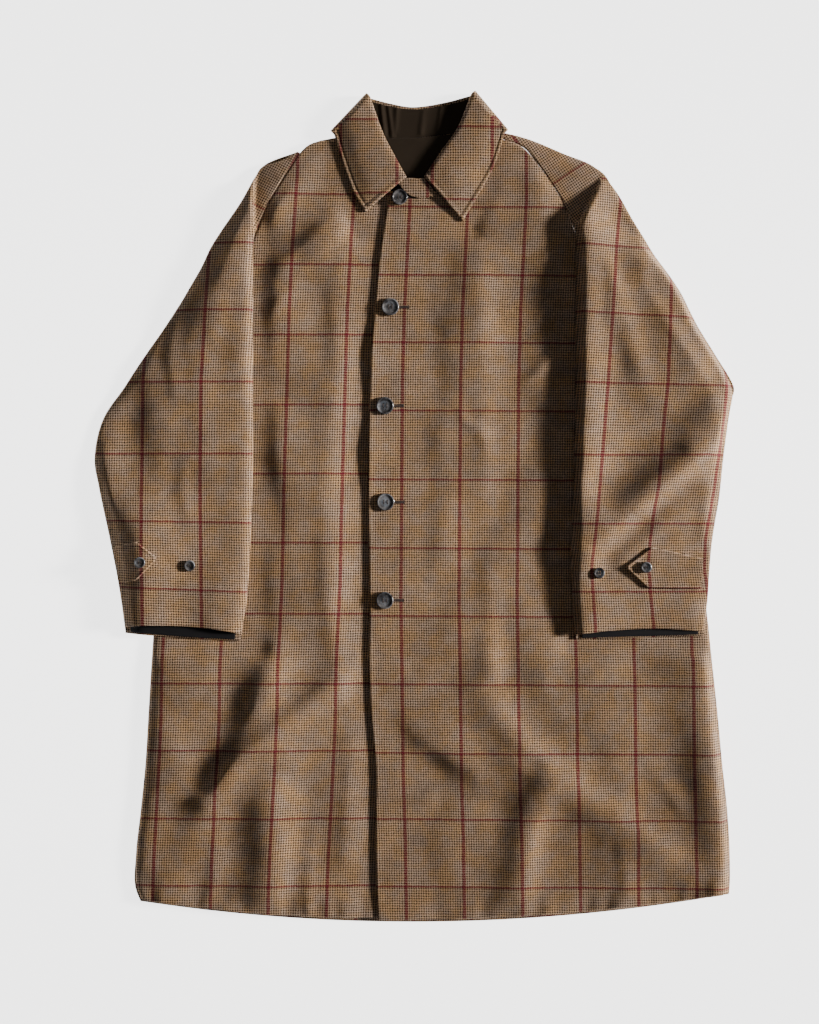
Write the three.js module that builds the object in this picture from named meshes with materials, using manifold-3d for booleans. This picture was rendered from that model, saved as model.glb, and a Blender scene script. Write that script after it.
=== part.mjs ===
// A raglan coat of checked wool cloth, laid flat and face up.
// Millimetres. +X is the viewer's right (the wearer's left), +Y points to the collar, +Z is up.
// The origin lies on the floor under the middle of the coat.
import * as THREE from 'three';
import { mergeVertices } from 'three/addons/utils/BufferGeometryUtils.js';
import Module from 'manifold-3d';

const wasm = await Module();
wasm.setup();

// Cloth and clearances
const BODY_WALL = 2.2;
const SLEEVE_WALL = 2.0;
const LINING_WALL = 1.0;
const COLLAR_WALL = 2.4;
const STAND_WALL = 2.0;
const TAB_WALL = 2.6;
const SEAM = 0.35;

// Heights of the undersides of the layers
const LINING_REST = 2.8;
const FRONT_REST = 5.2;
const LAP_UNDER_REST = 4.3;
const LAP_OVER_REST = 6.9;
const FRONT_LOWEST = 4.2;
const OVER_BODY = 8.4;
const SLEEVE_SPACE = 3.7;
const LAP_WIDTH = 60;
const SLEEVE_BACK_CELLS = 9;

const TWEED = { color: 0x7d6148, roughness: 0.95, metalness: 0 };
const OLIVE = { color: 0x4a4133, roughness: 0.85, metalness: 0 };
const NAVY = { color: 0x1d1c24, roughness: 0.8, metalness: 0 };
const HORN = { color: 0x2e2824, roughness: 0.3, metalness: 0 };

// Small helpers
const mix = (a, b, t) => a + (b - a) * t;
const clamp = (v, lo, hi) => Math.min(hi, Math.max(lo, v));
const mixRows = (a, b, t) => Object.fromEntries(Object.keys(a).map((key) => [key, mix(a[key], b[key], t)]));
const smooth = (t) => { const c = clamp(t, 0, 1); return c * c * (3 - 2 * c); };

// A table whose first line names its columns
function table(text) {
  const [names, ...rows] = text.trim().split('\n').map((line) => line.trim().split(/\s+/));
  return rows.map((row) => Object.fromEntries(names.map((name, i) => [name, Number(row[i])])));
}

// One column read at a value of another column, straight between rows
function lookup(rows, key, value, at) {
  let i = 0;
  while (i < rows.length - 2 && rows[i + 1][key] < at) i += 1;
  const span = rows[i + 1][key] - rows[i][key];
  return mix(rows[i][value], rows[i + 1][value], clamp((at - rows[i][key]) / span, 0, 1));
}

// Sections of each panel from its lower edge up: a row runs from (xl, yl) to (xr, yr),
// bows by `bow` at its middle, and is followed by `cells` strips up to the next row.
const BACK = table(`
  xl yl xr yr bow cells
  -346 -498.5 398 -489.5 -30.5 1
  -352 -484 399 -478 -25 1
  -352 -440 399 -440 -18 1
  -346 -385 396 -385 -12 1
  -340 -325 389.5 -325 -8 1
  -336 -260 383.5 -260 -5 1
  -332 -195 376.5 -195 -3 1
  -327 -130 369.5 -130 0 1
  -316 -60 358 -60 0 1
  -307 0 345 0 0 1
  -299 50 334 50 0 1
  -291 100 322 100 0 1
  -284 140 312 140 0 1
  -280 170 306 171 0 1
  -268 200 288 201 0 1
  -257 225 271.4 225.7 0 1
  -246 250 255 250 0 1
  -234 275 240 275.6 0 1
  -222 300 226 300 0 1
  -211 322 212.4 327.6 0 1
  -201 342 201 352 0 1
  -184 383 183 393 -4 1
  -165 414 167 418 -12 1
  -144 446.5 151 439 -20 1
  -122 462 134 456 -20 1
  -97 466 108 464.7 -14 1
  -66 464 82 468 -2.5 0`);

const BACK_LINING = table(`
  xl yl xr yr bow cells
  -334 -497 386 -489 -27 1
  -338 -446 385 -446 -18 2
  -325 -318 374 -318 -8 2
  -315 -180 360 -180 0 3
  -292 0 330 0 0 3
  -265 160 291 160 0 2
  -222 270 228 270 0 2
  -180 340 180 345 -4 2
  -140 388 142 393 -12 1
  -58 416 66 416 -10 2
  -48 465 60 472 -2.5 0`);

const FRONT_RIGHT = table(`
  xl yl xr yr bow cells
  -344.5 -496 2 -519 -7 1
  -350 -480 2 -495 -6 2
  -350.5 -440 2 -445 -5 2
  -344.5 -385 2 -388 -3 2
  -338.5 -325 2 -326 0 2
  -334.5 -260 0 -260 0 2
  -330.5 -195 -6 -195 0 2
  -325.5 -130 -6 -130 0 2
  -314.5 -60 -7 -60 0 2
  -305.5 0 -8 0 0 2
  -297.5 50 -8 50 0 2
  -289.5 100 -7.5 100 0 2
  -282.5 140 -6 140 0 1
  -280 170 -5 168 0 1
  -268 200 -4 192 0 1
  -257 225 -3 214 0 1
  -246 250 -1 236 0 1
  -234 275 1 258 0 1
  -222 300 3 280 0 1
  -211 322 5 300 0 1
  -201 342 7 318 -5 1
  -184 383 10 342 -12 1
  -165 414 13 362 -20 1
  -144 446.5 15 376 -30 1
  -122 461 16 384 -30 1
  -95 462.5 17 391 -22 0`);

const FRONT_LEFT = table(`
  xl yl xr yr bow cells
  -45.4 -521 397 -487.5 -9 1
  -47 -495 397.5 -475 -8 2
  -49 -440 397.5 -438 -6 2
  -49 -385 394.5 -384 -4 2
  -49.5 -325 388 -324 -2 2
  -55 -260 382 -260 0 2
  -57.5 -195 375 -195 0 2
  -56.5 -130 368 -130 0 2
  -57.5 -60 356.5 -60 0 2
  -58.5 0 343.5 0 0 2
  -58 50 332.5 50 0 2
  -57.6 100 320.5 100 0 2
  -56.5 140 310.5 140 0 1
  -55.5 170 306 171 0 1
  -54.5 197 288 201 0 1
  -52.5 222 271.4 225.7 0 1
  -50.5 246 255 250 0 1
  -48.5 268 240 275.6 0 1
  -46.5 290 226 300 0 1
  -44.5 312 212.4 327.6 0 1
  -42 330 201 352 -4 1
  -38.5 352 183 393 -8 1
  -36 368 167 418 -16 1
  -34.5 378 151 439 -24 1
  -33.5 385 134 456 -26 1
  -33 391 108 464.7 -24 0`);

// Sleeve sections, the right-hand one in its own x, the left-hand one with x mirrored:
// a row runs from the edge beside the body to the outer edge.
const SLEEVE_R_FRONT = table(`
  xl yl xr yr bow cells
  202 -161 363.5 -157 5 1
  199 -120 369 -120 3 2
  197.5 -80 371.5 -82 0 1
  197 -41 373.5 -45 0 1
  199 -5 379 -10 0 1
  200.5 30 385.5 26 0 1
  201.5 62 389.5 62 0 1
  202 95 394 95 0 1
  202.5 125 399 122 0 1
  202.8 150 402 145 0 1
  203 178 393 168 0 1
  203 206 375 198 0 1
  203 234 355 232 0 1
  203.3 262 338 268 0 1
  203.5 288 318 298 0 1
  203.8 313 301 320 0 1
  204 336 285 347 0 1
  201.4 352.3 272 368 0 1
  192.4 372.8 259 387 0 1
  183.4 393.3 248 407 0 1
  175.4 405.8 240 420 0 1
  167.4 418.3 224 431 0 1
  151.4 439.3 188 445.5 0 1
  134.4 456.3 143 464 0 1
  108.4 465 112 472 0 0`);

const SLEEVE_R_BACK = table(`
  xl yl xr yr bow cells
  203 -167 365 -162.5 0 1
  200 -110 370 -110 0 1
  198 -45 374.8 -50 0 1
  201 20 386 14 0 1
  212 62 391 62 0 1
  238 104 396 100 0 1
  274 144 401.5 136 0 1
  306.6 171.6 404.3 151 0 1
  288.6 201.4 380 193 0 1
  272 226.1 358 229 0 1
  255.6 250.4 338 268 0 1
  240.6 276 319 297 0 1
  226.6 300.4 303 319 0 1
  213 328 291 339 0 1
  201.6 352.4 278 360 0 1
  183.6 393.4 250 406 0 1
  167.6 418.4 226 431 0 1
  151.6 439.4 190 446 0 1
  134.6 456.4 144 465 0 1
  108.6 465.2 112.5 472.5 0 0`);

const SLEEVE_L_FRONT = table(`
  xl yl xr yr bow cells
  219.5 -160 363.5 -151 5 1
  212 -128 368 -125 2 1
  209.5 -98 371.5 -97 0 1
  207.5 -66 377.5 -66 0 1
  206 -34 384.5 -34 0 1
  204.5 -3 391.5 -4 0 1
  203.5 30 398.5 28 0 1
  203 60 403 60 0 1
  203 88 400.5 85 0 1
  203 115 389 117 0 1
  203 142 370.5 144 0 1
  203 170 354 170 0 1
  203 197 335 198 0 1
  203 224 316.5 224 0 1
  203 251 298.5 251 0 1
  203 278 282.5 278 0 1
  203 304 268 303 0 1
  203 326 256 328 0 1
  201.4 342.3 243 348 0 1
  192.9 362.8 231 365 0 1
  184.4 383.3 218 384 0 1
  174.9 398.8 208 402 0 1
  165.4 414.3 200 417 0 1
  155 430.5 190.5 430 0 1
  149.7 438.7 168 436.5 0 1
  144.4 446.8 147.5 448.3 0 0`);

const SLEEVE_L_BACK = table(`
  xl yl xr yr bow cells
  219 -169 365 -159.5 -1 1
  210 -107 373 -103 0 1
  206 -34 385.5 -38 0 1
  205 25 399 26 0 1
  212 70 404.3 62 0 1
  236 112 392 114 0 1
  262 146 368 149 0 1
  280.6 170.6 352 172 0 1
  268.6 200.4 333 201 0 1
  257.6 225.4 316 226 0 1
  246.6 250.4 299 252 0 1
  234.6 275.4 284 276 0 1
  222.6 300.4 270 301 0 1
  211.6 322.4 259 323 0 1
  201.6 342.4 248 342 0 1
  184.6 383.4 219.6 383 0 1
  165.6 414.4 202.5 414 0 1
  155.3 430.5 191.5 430.6 0 1
  144.6 446.9 148.2 448.8 0 0`);

// Where the cloth of each sleeve folds over below the shoulder point, x by height y
const CREASE_RIGHT = table(`
  y x
  354 207
  365 211
  393 225.5
  414 236
  422 241`);

const CREASE_LEFT = table(`
  y x
  345 202
  386 203
  414 201
  428 195`);

// The collar: rulings from the roll line (xr, yr) to the outer edge (xe, ye), and the heights
// of its upper side there. Rows run from the wearer's right point round the back to the left.
const LEAF_RIGHT = table(`
  xr yr xe ye zr ze cells
  -9.8 415.5 -62.1 371.4 15.6 11.6 3
  -20 434 -75 392 15.6 11.6 3
  -37.5 467 -88 426 15.6 11.6 4
  -55.3 516 -101.4 470.7 15.6 11.6 0`);

const FALL_BACK = table(`
  xr yr xe ye cells
  -55.3 516 -101.4 470.7 3
  -30 509.5 -52 450 3
  -1.6 505 5 440 3
  40 511 65 451 3
  71.5 519.4 114.3 472.2 0`);

const LEAF_LEFT = table(`
  xr yr xe ye zr ze cells
  71.5 519.4 114.3 472.2 15.6 11.6 4
  55 479 101.5 432 15.6 11.6 3
  31 444 80 392 15.6 11.6 3
  12 415.8 60.6 360 15.6 11.6 0`);

// The stand: rulings from its upper edge (xr, yr) to the neck seam (xe, ye)
const STAND_RIGHT = table(`
  xr yr xe ye zr ze cells
  -14 419 -42 398 10.2 10.2 2
  -39 465 -62 430 10.2 9.9 3
  -53 511 -77 479 10.2 10 0`);

const STAND_BACK = table(`
  xr yr xe ye cells
  -53 511 -77 479 2
  -31 505.5 -36 464 2
  -1.6 501.5 5 466.5 2
  38 506.5 47.5 471.5 2
  68 514 88 480 0`);

const STAND_LEFT = table(`
  xr yr xe ye zr ze cells
  68 514 88 480 10.2 10 3
  54 476 78 436 10.4 9.8 3
  27 436 53 412 11.2 10.4 2
  10.5 414.5 28 392 11.6 11.5 2
  -12 413 -6.5 393 11.6 11.5 0`);

// Large folds: soft ridges (height over 0) and troughs (under 0) along a path of points
// [x, y, height], with the widths of the flanks toward -X and toward +X
const fold = (left, right, ...path) => ({ left, right, path });

const FOLDS_RIGHT_FRONT = [
  fold(18, 26, [-66, 378, 6], [-110, 348, 9], [-150, 310, 6], [-170, 285, 2]),
  fold(18, 18, [-122, 436, 2], [-146, 402, 5], [-176, 366, 5]),
  fold(16, 60, [-168, 120, 1], [-160, 20, 2.5], [-152, -80, 3]),
  fold(22, 26, [-172, -160, 2], [-180, -215, 9], [-200, -262, 9], [-228, -318, 8], [-262, -376, 7],
    [-288, -425, 3]),
  fold(22, 22, [-90, 230, 2], [-104, 60, 2]),
  fold(14, 24, [-117, 150, 0.5], [-112.5, -10, 2.5], [-107, -124, 4], [-97, -187, 1]),
  fold(14, 22, [-60, -209, 3], [-112.5, -232, 6], [-163, -270, 7], [-226, -328, 6], [-262, -370, 4]),
  fold(34, 26, [-165, -300, 3], [-180, -376, 9], [-181, -477, 9]),
];

const FOLDS_LEFT_FRONT = [
  fold(36, 20, [72, 380, 2], [78, 279, 4.5], [82, 178.6, 4.5], [82, 90, 4], [88, -10, 2]),
  fold(27, 14, [158, 405, 3], [158, 304, 2], [158, 115, 1], [150, -124, 1]),
  fold(22, 22, [30, 90, 1.2], [44, -60, 1.2]),
  fold(14, 14, [92, -60, 1], [95, -130, 3], [98, -200, 4]),
  fold(34, 20, [78, -150, 2], [90, -225, 6], [106, -268, 8], [140, -308, 10], [208, -362, 10],
    [300, -428, 9], [345, -462, 4]),
  fold(16, 34, [-37, -243, 1], [13, -290, 5], [50, -313, 7], [83, -334, 6], [140, -355, 2]),
  fold(30, 18, [168, -350, 4], [143, -413, 9], [130, -485, 9]),
  fold(36, 10, [363, -168, 9], [374, -300, 12], [386, -400, 12], [392, -470, 8]),
  fold(24, 24, [158, -162, 2], [166, -225, 4], [200, -290, 3]),
  fold(30, 60, [234, -216, 4.5], [238, -262, 5.5], [262, -330, 4]),
  fold(20, 20, [238, -430, 2], [250, -500, 2]),
];

const FOLDS_RIGHT_SLEEVE = [
  fold(20, 20, [312, 209, -1.2], [322, 120, -1.2], [329, 40, -1.2]),
  fold(24, 24, [262, 250, 2.6], [268, 150, 2.6], [262, 60, 2.6]),
  fold(26, 34, [398, 46, 4], [368, -4, 7], [348, -50, 8], [338, -100, 7], [334, -140, 5]),
  fold(20, 22, [339, 216, 2], [326, 115, 3], [334, 50, 1.5]),
];

const FOLDS_LEFT_SLEEVE = [
  fold(20, 20, [391, 168, -3], [341, 130, -3], [290, 85, -3], [234, 31, -3]),
  fold(26, 14, [402, 94, 10], [352, 62, 14], [300, 20, 14], [244, -28, 11], [222, -50, 4]),
  fold(18, 14, [250, 290, 2], [262, 235, 4.5], [280, 180, 4.5], [292, 150, 1.5]),
  fold(80, 14, [282, 280, 5], [320, 220, 8], [350, 174, 8], [372, 138, 6]),
  fold(14, 14, [352, 6, 2], [304, -26, 4], [262, -66, 4]),
  fold(18, 18, [330, -40, 1.6], [240, -120, 1.6]),
];

// The wearer's right shoulder stands up along its raglan seam, front and sleeve alike
const RAGLAN_RISE = [
  fold(26, 16, [-146, 430, 3], [-162, 410, 5], [-180, 386, 5], [-201, 342, 2]),
];

// Height of a set of folds at a place: each falls off smoothly from its path. `side` is -1
// where x is mirrored.
function foldHeight(folds, x, y, side = 1) {
  let total = 0;
  for (const { left, right, path } of folds) {
    let nearest = Infinity;
    let height = 0;
    let facing = 0;
    for (let i = 0; i < path.length - 1; i += 1) {
      const [ax, ay, startHeight] = path[i];
      const [bx, by, endHeight] = path[i + 1];
      const length2 = (bx - ax) ** 2 + (by - ay) ** 2;
      const t = clamp(((x - ax) * (bx - ax) + (y - ay) * (by - ay)) / length2, 0, 1);
      const dx = x - mix(ax, bx, t);
      const distance = Math.hypot(dx, y - mix(ay, by, t));
      if (distance < nearest) {
        nearest = distance;
        height = mix(startHeight, endHeight, t);
        facing = (side * dx) / (distance + 1e-6);
      }
    }
    const width = mix(left, right, smooth(facing / 2 + 0.5));
    total += height * Math.exp(-((nearest / width) ** 2));
  }
  return total;
}

// A closed mesh from a grid of outer points and the grid of inner points behind them
function closedSheet(name, outer, inner, finish) {
  const rows = outer.length;
  const columns = outer[0].length;
  const points = [...outer.flat(), ...inner.flat()];
  const half = rows * columns;
  const faces = [];
  const quad = (a, b, c, d) => faces.push([a, b, c], [a, c, d]);
  for (let i = 0; i < rows - 1; i += 1) {
    for (let j = 0; j < columns - 1; j += 1) {
      const a = i * columns + j;
      quad(a, a + 1, a + columns + 1, a + columns);
      const b = a + half;
      faces.push([b, b + columns + 1, b + 1], [b, b + columns, b + columns + 1]);
    }
  }
  const rim = [];
  for (let j = 0; j < columns - 1; j += 1) rim.push(j);
  for (let i = 0; i < rows - 1; i += 1) rim.push(i * columns + columns - 1);
  for (let j = columns - 1; j > 0; j -= 1) rim.push((rows - 1) * columns + j);
  for (let i = rows - 1; i > 0; i -= 1) rim.push(i * columns);
  rim.forEach((a, k) => {
    const b = rim[(k + 1) % rim.length];
    quad(b, a, a + half, b + half);
  });
  let volume = 0;
  for (const [a, b, c] of faces) volume += points[a].dot(points[b].clone().cross(points[c]));
  if (volume < 0) faces.forEach((face) => face.reverse());
  const geometry = new THREE.BufferGeometry();
  geometry.setAttribute('position', new THREE.Float32BufferAttribute(points.flatMap((p) => p.toArray()), 3));
  geometry.setIndex(faces.flat());
  geometry.computeVertexNormals();
  const mesh = new THREE.Mesh(geometry, new THREE.MeshStandardMaterial(finish));
  mesh.name = name;
  return mesh;
}

// Places across a section, closer together near both edges
const across = (count) => Array.from({ length: count + 1 }, (_, j) => {
  const t = j / count;
  return mix(t, 0.5 - 0.5 * Math.cos(Math.PI * t), 0.62);
});

// A panel: a cloth wall over the sections of a table. `under` gives the height of its underside
// from x, y and the distances to the section's two ends; side is -1 where x is mirrored.
function panel(name, sections, places, wall, under, finish, side = 1) {
  const outer = [];
  const inner = [];
  const addRow = (row) => {
    const width = Math.hypot(row.xr - row.xl, row.yr - row.yl);
    const line = places.map((u) => {
      const x = mix(row.xl, row.xr, u);
      const y = mix(row.yl, row.yr, u) + row.bow * 4 * u * (1 - u);
      return new THREE.Vector3(side * x, y, under(x, y, u * width, (1 - u) * width));
    });
    inner.push(line);
    outer.push(line.map((p) => new THREE.Vector3(p.x, p.y, p.z + wall)));
  };
  sections.forEach((row, i) => {
    const next = sections[i + 1];
    for (let k = 0; k < row.cells; k += 1) {
      addRow(mixRows(row, next, k / row.cells));
    }
    if (!next) addRow(row);
  });
  return closedSheet(name, outer, inner, finish);
}

// The back of the collar lifts what lies on it, between its outer edge and the neck
const FALL_EDGE_MIDDLE = { x: 6.5, y: 440, rise: 35, half: 112 };
const COLLAR_LIFT = 3.0;
function collarLift(x, y) {
  const { x: cx, y: cy, rise, half } = FALL_EDGE_MIDDLE;
  const edge = cy + rise * ((x - cx) / half) ** 2;
  return COLLAR_LIFT * smooth((y - edge + 26) / 20);
}

// Outer edges of the body, x by y, right-hand side and mirrored left-hand side
const EDGE_RIGHT = BACK.map((row) => ({ y: row.yr, x: row.xr }));
const EDGE_LEFT = BACK.map((row) => ({ y: row.yl, x: -row.xl }));
const PLACKET = FRONT_LEFT.map((row) => ({ y: row.yl, x: row.xl }));
const UNDERARM = 171;

// 1 where the body lies under a point, falling to 0 over `ramp` outside its edge
const overBody = (edge, x, y, ramp) => 1 - smooth((x - lookup(edge, 'y', 'x', y) - 14) / ramp);

// 1 under the sleeves, where the fronts lie calm
const calm = (x, y) => smooth((Math.abs(x) - 170) / 28) * smooth((y + 198) / 20)
  * (1 - smooth((y - 350) / 20));

// 0 under the collar's leaves, 1 away from them
const LEAF_REACH = [{ y: 355, x: 60 }, { y: 392, x: 78 }, { y: 432, x: 95 }, { y: 472, x: 108 }];
function neckCalm(x, y) {
  const under = 1 - smooth((Math.abs(x) - lookup(LEAF_REACH, 'y', 'x', y) - 12) / 26);
  return 1 - smooth((y - 326) / 22) * under;
}

// Undersides of the layers
const backUnder = (x, y) => collarLift(x, y);
const liningUnder = (x, y) => LINING_REST + collarLift(x, y + 4);

// A front panel settles onto the back at its side edge below the underarm
function sideDrop(y, fromEdge, reach) {
  const below = 1 - smooth((y - UNDERARM + 30) / 30);
  return below * (FRONT_REST - 2.55) * Math.exp(-fromEdge / reach);
}

const FRONT_PUFF = 3.2;
const frontPuff = (fromSide, reach) => FRONT_PUFF * (1 - Math.exp(-fromSide / reach));
const freeOfLayers = (x, y) => (1 - calm(x, y)) * neckCalm(x, y);

function frontRightUnder(x, y, fromSide, fromLap) {
  const folds = foldHeight(FOLDS_RIGHT_FRONT, x, y) * smooth(fromSide / 20);
  const form = frontPuff(fromSide, 45) + folds;
  const free = Math.max(FRONT_LOWEST, FRONT_REST + form * freeOfLayers(x, y));
  const lapped = smooth((fromLap - LAP_WIDTH + 2) / 46);
  return mix(LAP_UNDER_REST, free, lapped) - sideDrop(y, fromSide, 14) + foldHeight(RAGLAN_RISE, x, y);
}

// The lap is held down by its buttons, and free below the last one
function frontLeftUnder(x, y, fromLap, fromSide) {
  const overLap = 1 - smooth((fromLap - LAP_WIDTH) / 42);
  const buttoned = overLap * (1 - smooth((-150 - y) / 40));
  const rest = mix(FRONT_REST, LAP_OVER_REST, overLap);
  const lowest = mix(FRONT_LOWEST, LAP_OVER_REST, overLap);
  const atRim = smooth(fromSide / 12) * smooth((fromLap + 2) / 22);
  const folds = foldHeight(FOLDS_LEFT_FRONT, x, y) * atRim * (1 - buttoned);
  const form = frontPuff(fromSide, 26) * (1 - overLap) + folds;
  return Math.max(lowest, rest + form * freeOfLayers(x, y)) - sideDrop(y, fromSide, 5);
}

// What differs between the two sleeves
const RIGHT_HAND = {
  edge: EDGE_RIGHT,
  crease: CREASE_RIGHT,
  folds: FOLDS_LEFT_SLEEVE,
  rise: [],
  innerHeight: 12,
  outerHeight: 5,
  side: 1,
};
const LEFT_HAND = {
  edge: EDGE_LEFT,
  crease: CREASE_LEFT,
  folds: FOLDS_RIGHT_SLEEVE,
  rise: RAGLAN_RISE,
  innerHeight: 4,
  outerHeight: 0,
  side: -1,
};

const SLEEVE_PUFF = 2.2;
const FOLD_TOP = 12.5;
const CAP_REST = 5.9;

function sleeveBackUnder({ edge, side }, x, y) {
  const fade = 1 - smooth((y - UNDERARM - 6) / 45);
  return OVER_BODY * overBody(edge, x, y, 24) * fade + collarLift(side * x, y);
}

function sleeveFrontUnder(hand, x, y, fromBody, fromOuter) {
  const { edge, crease, folds, side } = hand;
  const base = OVER_BODY * overBody(edge, x, y, 60) + SLEEVE_SPACE;
  const inset = 1 - Math.exp(-Math.min(fromBody, fromOuter) / 14);
  const body = base + SLEEVE_PUFF * inset;
  const first = crease[0].y;
  const last = crease[crease.length - 1].y;
  const foldX = lookup(crease, 'y', 'x', y);
  const cap = smooth((foldX - x) / 9 + 0.5) * smooth((y - first) / 8);
  const lift = Math.max(0, FOLD_TOP - body) * Math.exp(-Math.abs(x - foldX) / 30)
    * smooth((y - first + 90) / 60) * smooth((last - y) / 36);
  const atRim = smooth(Math.min(fromBody, fromOuter) / 15);
  const creases = sleeveFoldFade(y, last) * foldHeight(folds, x, y, side) * atRim;
  const fullness = hand.outerHeight > 0 ? SLEEVE_SPACE + OVER_BODY - base : 0;
  const rolls = hand.innerHeight * innerRoll(y, last, fromBody)
    + outerRoll(y, fromOuter, hand.outerHeight, fullness);
  const main = Math.max(base, body + lift + rolls + creases);
  const onBack = SLEEVE_WALL + 0.4 + collarLift(side * x, y);
  const capHeight = Math.max(CAP_REST - 3.3 * Math.exp(-fromOuter / 14), onBack)
    + foldHeight(hand.rise, side * x, y);
  const deeper = 1.3 + 2.2 * smooth((y - 90) / 50);
  const drop = 1.3 * Math.exp(-fromOuter / 5) + deeper * Math.exp(-fromBody / 6);
  return mix(main - drop, capHeight, cap);
}

const sleeveFoldFade = (y, last) => 1 - smooth((y - last + 120) / 60);

// The sleeve stands highest along its inner edge, where it is folded; the one on the viewer's right
// is full along its upper outer edge too.
const INNER_ROLL = { place: 8, inner: 7, outer: 30 };
function innerRoll(y, last, fromBody) {
  const { place, inner, outer } = INNER_ROLL;
  const spread = fromBody < place ? inner : outer;
  const along = (0.6 + 0.4 * smooth((y + 160) / 200)) * (1 - smooth((y - last + 60) / 60));
  return along * Math.exp(-(((fromBody - place) / spread) ** 2));
}

const OUTER_ROLL = { place: 10, spread: 30 };
function outerRoll(y, fromOuter, height, fullness) {
  const { place, spread } = OUTER_ROLL;
  const along = smooth((y - 70) / 50) * (1 - smooth((y - 300) / 50));
  const form = height * Math.exp(-((Math.max(0, fromOuter - place) / spread) ** 2));
  return along * (form + fullness) * smooth(fromOuter / place);
}

// The lining inside each cuff: a short band over the back layer's own points
const CUFF_LINING_REST = SLEEVE_WALL + 0.3;
const CUFF_LINING_INSET = 0.03;

// A collar band: a leaf on top, a turn round the side of the neck, the back part below,
// a turn on the other side and the other leaf
function band(name, first, back, second, wall, backHeight, turnSteps, count, finish) {
  const outer = [];
  const inner = [];
  const places = Array.from({ length: count + 1 }, (_, j) => j / count);
  const at = (row, t) => [mix(row.xr, row.xe, t), mix(row.yr, row.ye, t)];
  const station = (point, inwards) => {
    const line = places.map(point);
    outer.push(line);
    inner.push(line.map((p, j) => p.clone().addScaledVector(inwards(j), wall)));
  };
  const spread = (rows, emit) => {
    rows.forEach((row, i) => {
      const next = rows[i + 1];
      for (let k = 0; k < row.cells; k += 1) {
        emit(mixRows(row, next, k / row.cells));
      }
    });
    emit(rows[rows.length - 1]);
  };
  const down = new THREE.Vector3(0, 0, -1);
  const up = new THREE.Vector3(0, 0, 1);
  const leaf = (row) => station((t) => new THREE.Vector3(...at(row, t), mix(row.zr, row.ze, t)), () => down);
  const turn = (row, side, falling) => {
    const along = new THREE.Vector2(row.xe - row.xr, row.ye - row.yr).normalize();
    const out = new THREE.Vector2(-along.y, along.x);
    if (out.x * side < 0) out.negate();
    for (let k = 1; k < turnSteps; k += 1) {
      const angle = (falling ? 1 : -1) * Math.PI * (0.5 - k / turnSteps);
      const reach = new THREE.Vector3(out.x * Math.cos(angle), out.y * Math.cos(angle), Math.sin(angle));
      station((t) => {
        const radius = (mix(row.zr, row.ze, t) - backHeight) / 2;
        return new THREE.Vector3(...at(row, t), backHeight + radius).addScaledVector(reach, radius);
      }, () => reach.clone().negate());
    }
  };
  spread(first, leaf);
  turn(first[first.length - 1], -1, true);
  spread(back, (row) => station((t) => new THREE.Vector3(...at(row, t), backHeight), () => up));
  turn(second[0], 1, false);
  spread(second, leaf);
  return closedSheet(name, outer, inner, finish);
}

// A cuff tab lies on the sleeve: sections from its point to its sewn end
const TAB_ON_LEFT = table(`
  xl yl xr yr bow cells
  267 -78 267.5 -73.5 0 2
  292.8 -101.9 297.9 -50.6 0 3
  360.7 -103.4 363 -65.1 0 0`);
const TAB_ON_RIGHT = table(`
  xl yl xr yr bow cells
  324.3 -67 324 -62.5 0 2
  348 -92 348 -44 0 2
  371 -97 377 -50 0 0`);

// A round button with a raised rim and four holes
const BUTTON_HEIGHT = 3.4;
function button(name, radius, x, y, z) {
  const profile = [
    [0, 0],
    [radius - 0.7, 0],
    [radius, 0.9],
    [radius, 2.6],
    [radius - 1.1, BUTTON_HEIGHT],
    [radius * 0.66, 2.2],
    [0, 2.2],
  ].map(([r, h]) => new THREE.Vector2(r, h));
  const turned = solidOf(new THREE.LatheGeometry(profile, 14).rotateX(Math.PI / 2));
  const holeRadius = radius * 0.085;
  const holeOffset = radius * 0.2;
  let body = turned;
  for (const [sx, sy] of [[1, 1], [1, -1], [-1, 1], [-1, -1]]) {
    const hole = new THREE.CylinderGeometry(holeRadius, holeRadius, 8, 5).rotateX(Math.PI / 2);
    hole.translate(sx * holeOffset, sy * holeOffset, 1);
    body = body.subtract(solidOf(hole));
  }
  const mesh = new THREE.Mesh(geometryOf(body), new THREE.MeshStandardMaterial(HORN));
  mesh.name = name;
  mesh.position.set(x, y, z);
  return mesh;
}

function solidOf(geometry) {
  geometry.deleteAttribute('normal');
  geometry.deleteAttribute('uv');
  const merged = mergeVertices(geometry, 1e-4);
  const index = Array.from(merged.index.array);
  const kept = [];
  for (let i = 0; i < index.length; i += 3) {
    const [a, b, c] = index.slice(i, i + 3);
    if (a !== b && b !== c && c !== a) kept.push(a, b, c);
  }
  const mesh = new wasm.Mesh({
    numProp: 3,
    vertProperties: new Float32Array(merged.attributes.position.array),
    triVerts: new Uint32Array(kept),
  });
  const solid = new wasm.Manifold(mesh);
  return solid.volume() < 0 ? solid.mirror([0, 0, 0]) : solid;
}

function geometryOf(solid) {
  const { vertProperties, triVerts } = solid.getMesh();
  const geometry = new THREE.BufferGeometry();
  geometry.setAttribute('position', new THREE.BufferAttribute(new Float32Array(vertProperties), 3));
  geometry.setIndex(new THREE.BufferAttribute(new Uint32Array(triVerts), 1));
  geometry.computeVertexNormals();
  return geometry;
}

// Assembly
const coat = new THREE.Group();

coat.add(panel('back', BACK, across(9), BODY_WALL, backUnder, TWEED));
coat.add(panel('back_lining', BACK_LINING, across(7), LINING_WALL, liningUnder, OLIVE));
coat.add(panel('front_right', FRONT_RIGHT, across(13), BODY_WALL, frontRightUnder, TWEED));
coat.add(panel('front_left', FRONT_LEFT, across(16), BODY_WALL, frontLeftUnder, TWEED));

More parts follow.
